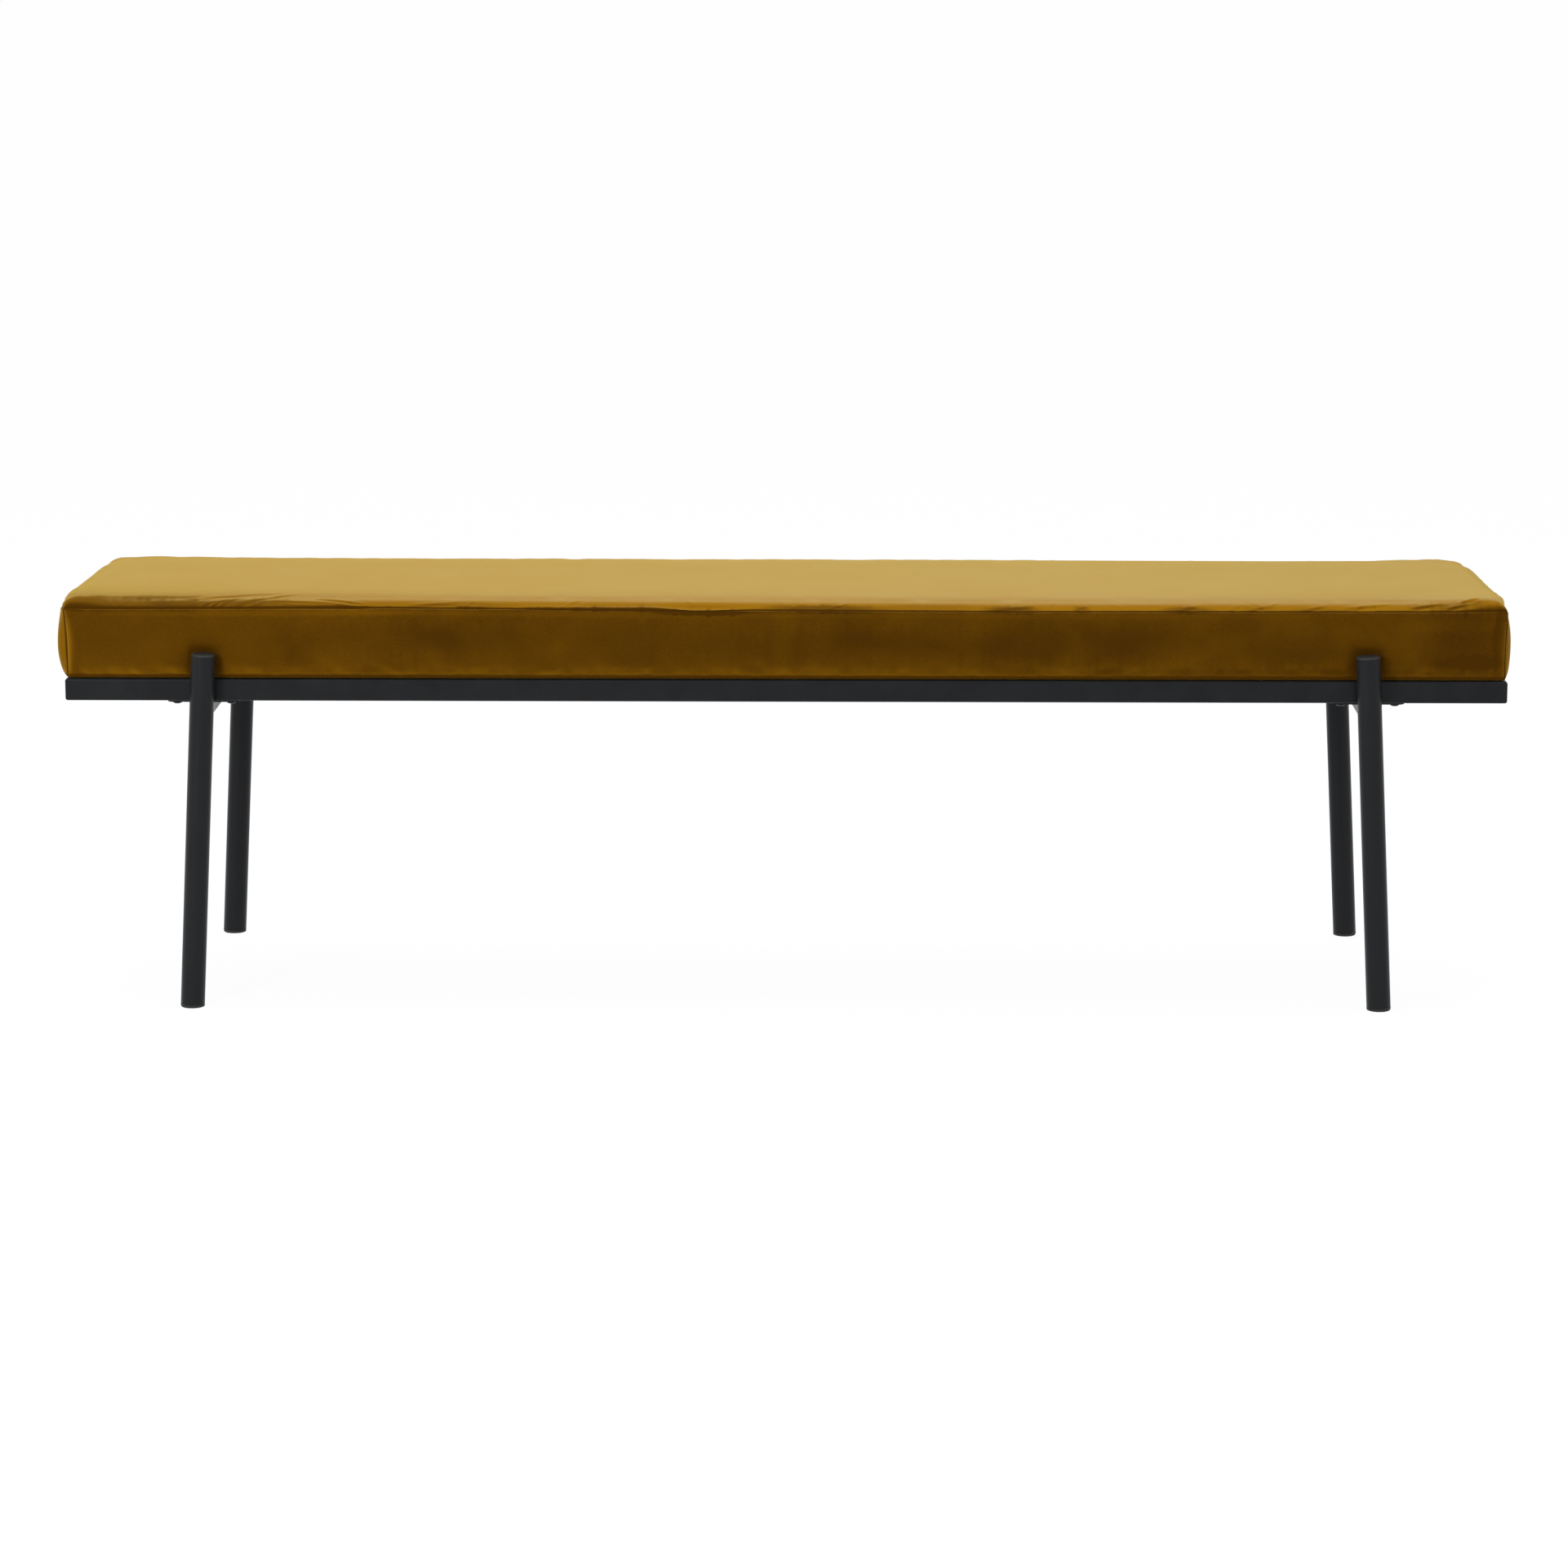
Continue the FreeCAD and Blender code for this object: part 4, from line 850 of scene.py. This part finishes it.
turned = {
    # Lengths in mm; a leg's own height is measured along it from the floor
    "splay": 3.0, "legTube": (3.5, 398.14), "wall": 1.5, "aroundLeg": 64,
    "footEdge": 0.2, "topEdge": 0.3,         # chamfers of the tube's ends
    "smoothUnder": 35,                       # degrees
    "capProfile": ((0, 2.15), (10.4, 2.15), (11.1, 2.3), (11.7, 2.6), (12.4, 2.62), (13.0, 2.25), (13.4, 1.5),
                   (13.5, 0.5), (13.4, 0.2), (12.8, 0.0), (11.8, -0.1), (11.6, -7), (0, -7)),
    "glideProfile": ((0, -0.9), (11.6, -0.9), (12.6, -0.6), (13.2, 0.3), (13.5, 1.4), (13.5, 3.1), (13.2, 3.45),
                     (11.9, 3.5), (11.8, 14), (11.2, 17.5), (0, 17.5)),
    "headProfile": ((5.6, 0), (5.75, -0.25), (5.6, -0.7), (5.0, -1.5), (4.1, -2.2), (3.1, -2.6), (2.6, -2.65)),
    "aroundBolt": 24, "socket": 4.0, "socketDepth": 1.6, "shank": 3.0, "shankEdge": 0.5,
    "legBoltAt": (343.0, 16), "seatBoltAt": (345.0, 35),   # height under the head's rim, and length
}


def turn(bm, profile, around, place=Matrix()):
    # Spins a profile of (radius, height) in mm round its own axis
    verts = [bm.verts.new((radius * mm, 0, height * mm)) for radius, height in profile]
    edges = [bm.edges.new(pair) for pair in zip(verts, verts[1:])]
    bmesh.ops.spin(bm, geom=verts + edges, cent=(0, 0, 0), axis=(0, 0, 1), angle=2 * math.pi, steps=around,
                   use_merge=True)
    bmesh.ops.remove_doubles(bm, verts=bm.verts[:], dist=1e-6)
    bmesh.ops.recalc_face_normals(bm, faces=bm.faces[:])
    bmesh.ops.transform(bm, matrix=place, verts=bm.verts[:])
    return bm


def finishTurned(name, bm, finish, replaced):
    piece = newPiece(name, bm, finishes[finish], replaced=replaced)
    piece.data.set_sharp_from_angle(angle=math.radians(turned["smoothUnder"]))
    return piece


def copyTo(bm, shape, places):
    # Adds a copy of a finished shape at each place
    mesh = bpy.data.meshes.new("copy")
    shape.to_mesh(mesh)
    for place in places:
        mesh.transform(place)
        bm.from_mesh(mesh)
        mesh.transform(place.inverted())
    bpy.data.meshes.remove(mesh)
    shape.free()


def legPlace(node):
    # A leg's own frame: on the floor, its axis leaning in along the bench as it rises
    low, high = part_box(node)
    end = -1 if low.x < 0 else 1
    lean = math.tan(math.radians(turned["splay"]))
    foot = (low.x + high.x) / 2 + end * (low.z + high.z) / 2 * lean
    return Matrix.Translation((foot, (low.y + high.y) / 2, 0)) @ Matrix.Rotation(
        math.radians(-end * turned["splay"]), 4, "Y")


def makeLegs():
    size = turned
    places = {node: legPlace(node) for node in legNodes}
    foot, edge = size["footEdge"], size["topEdge"]
    bottom, top = size["legTube"]
    for node, place in places.items():
        low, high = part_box(node)
        radius = (high.y - low.y) / 2 / mm
        inner = radius - size["wall"]
        bm = bmesh.new()
        turn(bm, ((inner, bottom), (radius - foot, bottom), (radius, bottom + foot), (radius, 0.5 * top),
                  (radius, top - edge), (radius - edge, top), (inner, top), (inner, bottom)), size["aroundLeg"], place)
        side, end, _ = node.split("_")
        finishTurned(side + end.capitalize() + "LegTube", bm, "leg", (node,))
    caps = bmesh.new()
    copyTo(caps, turn(bmesh.new(), size["capProfile"], size["aroundLeg"]),
           [place @ Matrix.Translation((0, 0, top * mm)) for place in places.values()])
    finishTurned("legEndCaps", caps, "plastic", ("leg_caps",))
    glides = bmesh.new()
    copyTo(glides, turn(bmesh.new(), size["glideProfile"], size["aroundLeg"]), places.values())
    cut = bmesh.ops.bisect_plane(glides, geom=glides.verts[:] + glides.edges[:] + glides.faces[:], dist=1e-6,
                                 plane_co=(0, 0, 0), plane_no=(0, 0, -1), clear_outer=True)
    rim = [item for item in cut["geom_cut"] if isinstance(item, bmesh.types.BMEdge)]
    bmesh.ops.edgeloop_fill(glides, edges=rim)
    bmesh.ops.recalc_face_normals(glides, faces=glides.faces[:])
    finishTurned("floorGlides", glides, "plastic", ("foot_glides",))
    print("legs turned, with caps and glides")


def boltShape(length):
    # Button head with a hexagon socket, pointing down, and its shank
    size = turned
    shank, edge = size["shank"], size["shankEdge"]
    bm = turn(bmesh.new(), ((0, length), (shank - edge, length), (shank, length - edge), (shank, 0),
                            *size["headProfile"]), size["aroundBolt"])
    rim = [edge for edge in bm.edges if edge.is_boundary]
    face = Matrix.Translation((0, 0, size["headProfile"][-1][1] * mm))
    socket = bmesh.ops.create_circle(bm, segments=6, radius=size["socket"] / math.sqrt(3) * mm, matrix=face)
    mouth = list({edge for vertex in socket["verts"] for edge in vertex.link_edges})
    bmesh.ops.bridge_loops(bm, edges=rim + mouth)
    walls = bmesh.ops.extrude_edge_only(bm, edges=mouth)["geom"]
    deep = [item for item in walls if isinstance(item, bmesh.types.BMVert)]
    bmesh.ops.translate(bm, verts=deep, vec=(0, 0, size["socketDepth"] * mm))
    bmesh.ops.edgeloop_fill(bm, edges=[item for item in walls if isinstance(item, bmesh.types.BMEdge)])
    bmesh.ops.recalc_face_normals(bm, faces=bm.faces[:])
    return bm


boltPoints = {
    "leg_bolts": [(x, y) for x in (-677, -617, 617, 677) for y in (-162.5, 162.5)],
    "seat_bolts": [(x, y) for x in (-400, 400) for y in (-100, 100)],
}


def makeBolts():
    for name, node, (height, length) in (("legButtonBolts", "leg_bolts", turned["legBoltAt"]),
                                         ("seatButtonBolts", "seat_bolts", turned["seatBoltAt"])):
        places = [Matrix.Translation((x * mm, y * mm, height * mm)) for x, y in boltPoints[node]]
        bm = bmesh.new()
        copyTo(bm, boltShape(length), places)
        finishTurned(name, bm, "blackSteel", (node,))
    print("bolts made")


# Dust cloth under the seat, stapled to the board and lying on the rails

dust = {
    "sag": 1.6, "creases": 0.25,             # mm
    "grid": (180, 40),                       # cells along the bench, and across it
    "lift": 0.3,                             # mm over the rails, so that it doesn't lie in their faces
    "crossRails": (-400, 0, 400),
    # Where it starts to hang free and where it hangs free: in from its edge, and from a cross rail's middle
    "fromEdge": (18, 90), "fromCrossRail": (14, 110),
}


def makeDustCloth():
    low, high = (np.array(corner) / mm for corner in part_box("dust_cover"))
    length, width = high[0] - low[0], high[1] - low[1]
    bm = bmesh.new()
    cellsAlong, cellsAcross = dust["grid"]
    bmesh.ops.create_grid(bm, x_segments=cellsAlong, y_segments=cellsAcross, size=0.5,
                          matrix=Matrix.Diagonal((length * mm, width * mm, 1, 1)))
    places = np.array([vertex.co for vertex in bm.verts]) / mm
    x, y = places[:, 0], places[:, 1]
    inward = np.minimum(length / 2 - np.abs(x), width / 2 - np.abs(y))
    fromRail = np.abs(places[:, :1] - [dust["crossRails"]]).min(axis=1)
    free = ease(ramp(inward, *dust["fromEdge"])) * ease(ramp(fromRail, *dust["fromCrossRail"]))
    ripples = wander(x + 0.5 * y, 40, 300, seed=21) * wander(y - 0.3 * x, 60, 400, seed=22)
    height = low[2] + dust["lift"] - free * (dust["sag"] + np.abs(ripples) * dust["creases"])
    for vertex, rises in zip(bm.verts, height):
        vertex.co.z = rises * mm
    bmesh.ops.reverse_faces(bm, faces=bm.faces[:])
    piece = newPiece("underseatDustCloth", bm, finishes["dustCloth"], replaced=("dust_cover",))
    print("dust cloth laid")


# Stitches of the cover, one row just under the top seam and one down each corner

stitch = {
    # mm
    "pitch": 2.9, "size": (1.0, 0.28, 0.24), "under": 1.2, "besideCorner": 1.2,
    "near": 0.08,                            # how far a point of the mesh may lie from its row
    "cornerEnds": (3, 2),                    # a corner's row stops short of the lower edge and of the top row
}


def seamRow(cover, chosen, order):
    # Points and normals of the cover along one of its own lines
    points, normals, flat = cover
    chosen = np.flatnonzero(chosen)
    chosen = chosen[np.argsort(flat[chosen, order])]
    return points[chosen], normals[chosen]


def stitchRows(mesh):
    cover = readCover(mesh)
    x, y, up = cover[2].T
    halfX, halfY = cushion["cornerAtSeam"]
    near, (above, below) = stitch["near"], stitch["cornerEnds"]
    under = cushion["seam"] - cushion["base"] - stitch["under"]
    atTop = abs(up - under) < near
    atCorner = (abs(abs(x) - halfX + stitch["besideCorner"]) < near) & (up > above) & (up < under - below)
    rows = []
    for side in (-1, 1):
        onSide = abs(y - side * halfY) < 1e-3
        rows.append(seamRow(cover, atTop & onSide, 0))
        rows.append(seamRow(cover, atTop & (abs(x - side * halfX) < 1e-3), 1))
        for end in (-1, 1):
            rows.append(seamRow(cover, atCorner & onSide & (x * end > 0), 2))
    return rows


def between(distance, along, values):
    return Vector([np.interp(distance, along, values[:, axis]) for axis in range(3)])


def makeStitches(cover):
    places = []
    for points, normals in stitchRows(cover.data):
        steps = np.linalg.norm(np.diff(points, axis=0), axis=1)
        along = np.concatenate([[0], np.cumsum(steps)])
        for distance in np.arange(stitch["pitch"] / 2, along[-1] / mm, stitch["pitch"]) * mm:
            at = between(distance, along, points)
            way = (between(distance + mm, along, points) - between(distance - mm, along, points)).normalized()
            out = between(distance, along, normals).normalized()
            across = out.cross(way).normalized()
            places.append(Matrix.Translation(at) @ Matrix((way, across, way.cross(across))).transposed().to_4x4())
    shape = bmesh.new()
    bmesh.ops.create_uvsphere(shape, u_segments=6, v_segments=4, radius=mm)
    bmesh.ops.scale(shape, vec=stitch["size"], verts=shape.verts[:])
    bm = bmesh.new()
    copyTo(bm, shape, places)
    newPiece("coverStitches", bm, finishes["thread"])
    print("cover stitched,", len(places), "stitches")


makeStudio()
dressNodes()
makeLegs()
makeBolts()
makeDustCloth()
makeStitches(makeCushion())
